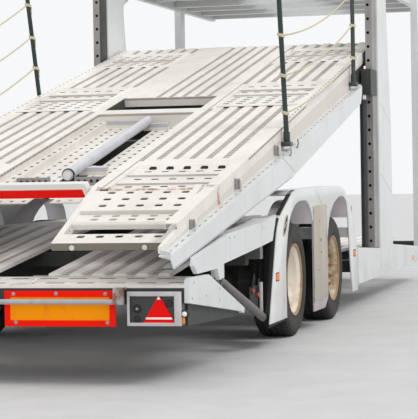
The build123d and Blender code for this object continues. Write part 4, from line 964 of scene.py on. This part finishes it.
def beam_spring(white, zinc):
    """The coiled spring with its hook on the rear beam, and a pin beside it."""
    x, z, r, turns, start, length = row(-2.93), 0.567, 0.011, 11, -0.235, 0.120
    coil = []
    for k in range(24 * turns + 1):
        t = 2 * math.pi * k / 24
        coil.append((x + r * math.cos(t), start - length * k / (24 * turns), z + r * math.sin(t)))
    white.tube(coil, 0.0022, 6)
    white.tube([(x, -0.352, z), (x + 0.005, -0.375, z + 0.007), (x + 0.01, -0.388, z + 0.023)], 0.003, 6)
    zinc.tube([(row(-2.17), -0.200, 0.548), (row(-2.17), -0.090, 0.548)], 0.011, 12)


def add_tail(m):
    """The tail's small pieces, gathered by their finish."""
    zinc, frames, dark, white, red, amber, under = (Shape() for _ in range(7))
    for _, s in SIDES:
        plate_screws(s, zinc)
        lamp_box_details(s, zinc, frames, dark, white)
        marker_lamp(s, frames, dark, white)
        brake_couplings(s, frames, dark, amber, red)
    beam_spring(white, zinc)
    # A dark sheet under the rear beam's slots: painted shade.
    under.box(row(-2.950), row(-2.200), -1.230, 1.230, 0.538, 0.542)
    zinc.done("plate_domes", "chassis", "lamp_grey", m["zinc"])
    frames.done("lamp_frames", "chassis", "bar_grey", m["pale_frame"])
    amber.done("corner_lenses", "chassis", "lamp_amber", m["lamp_amber"])
    under.done("beam_slot_shade", "chassis", "dark_steel", m["rubber_black"])
    dark.done("lamp_bodies", "chassis", "lamp_grey", m["rubber_black"], ("corner_lamps",))
    white.done("lamp_whites", "chassis", "lamp_grey", m["lens_white"], ("corner_lamps",))
    red.done("brake_couplings", "chassis", "reflector_red", m["coupling_red"])


# Clamps on the girders, from x to x at a height, and hooks, at x from a height to a height
CLAMPS = [(-0.411, -0.246, 1.295), (-1.532, -1.370, 1.081), (-2.572, -2.491, 0.861)]
HOOKS = [(-0.21, 1.264, 1.305), (0.025, 1.320, 1.376)]
TUBE_Y, TUBE_W = -0.030, -0.045


def add_girder_clamps(m):
    """Clamps with light brackets, and hooks, along the girders."""
    clamps, light = Shape(), Shape()
    for _, s in SIDES:
        y = s * (TRACK_OUT + 0.002)
        for x0, x1, z in CLAMPS:
            x, wide = row((x0 + x1) / 2), min((x1 - x0) / 2, 0.055)
            for leg in (x - wide, x + wide * 0.2):
                clamps.box(leg - 0.006, leg + 0.006, y, y + s * 0.016, z - 0.034, z + 0.034, 0.002)
            clamps.box(x - wide, x + wide * 0.2, y + s * 0.002, y + s * 0.014, z + 0.022, z + 0.034, 0.002)
            light.box(x + wide * 0.45, x + wide, y, y + s * 0.022, z - 0.030, z + 0.036, 0.002)
        for x, z0, z1 in HOOKS:
            clamps.tube([(row(x), s * 1.242, z0), (row(x) - 0.012, s * 1.255, z0 - 0.006),
                         (row(x) - 0.016, s * 1.262, (z0 + z1) / 2), (row(x) - 0.004, s * 1.256, z1)],
                        0.005, 8)
    clamps.done("side_clamps", "upper_deck", "steel_grey", m["steel_grey"])
    light.done("side_brackets", "upper_deck", "track_cream", m["track_cream"])


def add_tube_details(m):
    """The tube's ring, bracket and end, and the walkways' end plates."""
    ring, cut, mark, plates, holes = (Shape() for _ in range(5))
    down_slope = (-COS, 0, -SIN)
    x, z = deck(-1.375, TUBE_W)
    ring.turned((x, TUBE_Y, z), (COS, 0, SIN),
                [(0, 0.0385), (0.001, 0.0425), (0.016, 0.0425), (0.017, 0.0385)], 32)
    ring.done("tube_ring", "upper_deck", "bar_grey", m["rubber_black"])
    outline = [deck(-1.410, -0.108), deck(-1.410, -0.052), deck(-1.398, -0.052), deck(-1.398, -0.108)]
    x, z = deck(-1.4102, -0.078)
    for s in (-1, 1):
        plates.plate(outline, s * 0.082, s * 0.310, 0.002)
        # Flat dark discs for the holes: painted shade.
        for k in range(5):
            holes.turned((x, s * (0.112 + 0.042 * k), z), down_slope, [(-0.001, 0.011), (0.001, 0.011)], 14)
    plates.done("walkway_ends", "upper_deck", "steel_grey", m["steel_grey"])
    holes.done("walkway_end_hole_shade", "upper_deck", "dark_steel", m["rubber_black"])
    x, z = deck(-1.3985, TUBE_W)
    cut.turned((x, TUBE_Y, z), down_slope, [(0, 0.029), (0.003, 0.028), (0.004, 0.012)], 24)
    cut.done("tube_end", "upper_deck", "bar_grey", m["lens_white"])
    x, z = deck(-1.33, -0.100)
    mark.box(x - 0.03, x + 0.03, -0.150, -0.085, z - 0.006, z + 0.018, 0.003)
    mark.done("tube_bracket", "upper_deck", "bar_grey", m["yellow_mark"])


def add_tread_shades(m):
    """Dark sheets close under the slotted stretches of both tracks: painted shade seen through the slots."""
    shade_sheets = Shape()
    for _, s in SIDES:
        for surface in SLOTTED:
            shade_sheets.strip([deck(u, w - 0.009) for u, w in surface], 0.0015, s * 0.500, s * 1.096)
    shade_sheets.done("tread_shades", "upper_deck", "dark_steel", m["rubber_black"])


def add_rail_shades(m):
    """Dark sheets behind the holes of the lift's guide rails: painted shade."""
    for side, s in SIDES:
        back = Shape()
        back.box(row(3.150), row(3.352), s * 1.203, s * 1.209, 0.48, 2.90, 0.002)
        back.done("rail_shade_" + side, "chassis", "dark_steel", m["dark_steel"])


def add_arm_flanges(m):
    """The flange inside each side arm, under its top edge."""
    line = [(-2.60, 0.7112), (-2.084, 0.775), (-1.268, 0.812), (-0.84, 0.851)]
    for side, s in SIDES:
        flange = Shape()
        flange.strip([(row(x), z) for x, z in line], 0.006, s * 1.130, s * 1.262, 0.001)
        flange.done("arm_flange_" + side, "chassis", "panel_white", m["panel_white"])


def add_world():
    """A pale world, plain to the camera and in reflections, softer as a light."""
    world = bpy.data.worlds.new("world")
    bpy.context.scene.world = world
    world.use_nodes = True
    tree = world.node_tree
    path = tree.nodes.new("ShaderNodeLightPath")
    seen = path.outputs["Is Camera Ray"]
    for ray in ("Is Glossy Ray", "Is Transmission Ray"):
        total = tree.nodes.new("ShaderNodeMath")
        total.operation = "ADD"
        total.use_clamp = True
        tree.links.new(seen, total.inputs[0])
        tree.links.new(path.outputs[ray], total.inputs[1])
        seen = total.outputs[0]
    lit, plain = tree.nodes["Background"], tree.nodes.new("ShaderNodeBackground")
    mix = tree.nodes.new("ShaderNodeMixShader")
    tree.links.new(seen, mix.inputs[0])
    for socket, back, colour, strength in ((1, lit, (1.0, 1.0, 1.0, 1.0), 0.62),
                                           (2, plain, (0.93, 0.94, 0.95, 1.0), 1.0)):
        back.inputs[0].default_value = colour
        back.inputs[1].default_value = strength
        tree.links.new(back.outputs[0], mix.inputs[socket])
    tree.links.new(mix.outputs[0], tree.nodes["World Output"].inputs[0])


def add_floor():
    """A pale floor with a faint grain."""
    half = 60.0
    mesh = bpy.data.meshes.new("floor")
    mesh.from_pydata([(-half, -half, 0), (half, -half, 0), (half, half, 0), (-half, half, 0)], [],
                     [(0, 1, 2, 3)])
    floor = linked("floor", mesh)
    n = Nodes("floor")
    grain = n.ramp(n.noise(3.0, 8.0), 0.3, 0.7)
    n.set(color=n.mix(grain, rgb(206, 206, 206), rgb(216, 216, 216)), rough=0.9)
    mesh.materials.append(n.mat)


def add_lights():
    """Three wide, soft suns."""
    for name, energy, angle, aim in (("sun", 1.2, 25, (0.20, 0.62, -0.75)),
                                     ("rear_fill", 0.7, 60, (0.90, 0.20, -0.30)),
                                     ("front_fill", 0.35, 60, (-0.85, -0.30, -0.40))):
        sun = bpy.data.lights.new(name, "SUN")
        sun.energy = energy
        sun.angle = math.radians(angle)
        linked(name, sun).rotation_euler = Vector(aim).to_track_quat("-Z", "Y").to_euler()


add_camera()
finishes = {}
for add_finishes in (add_white_paints, add_track_paints, add_frame_paints, add_tail_finishes,
                     add_deck_finishes, add_wheel_finishes):
    add_finishes(finishes)
dress_cad(finishes)
for add_pieces in (add_mudguards, add_strips, add_side_lamps, add_tyres, add_wheel_nuts, add_posts, add_tail,
                   add_girder_clamps, add_tube_details, add_arm_flanges, add_tread_shades, add_rail_shades):
    add_pieces(finishes)
add_floor()
add_world()
add_lights()
bpy.context.scene.view_settings.view_transform = "Standard"
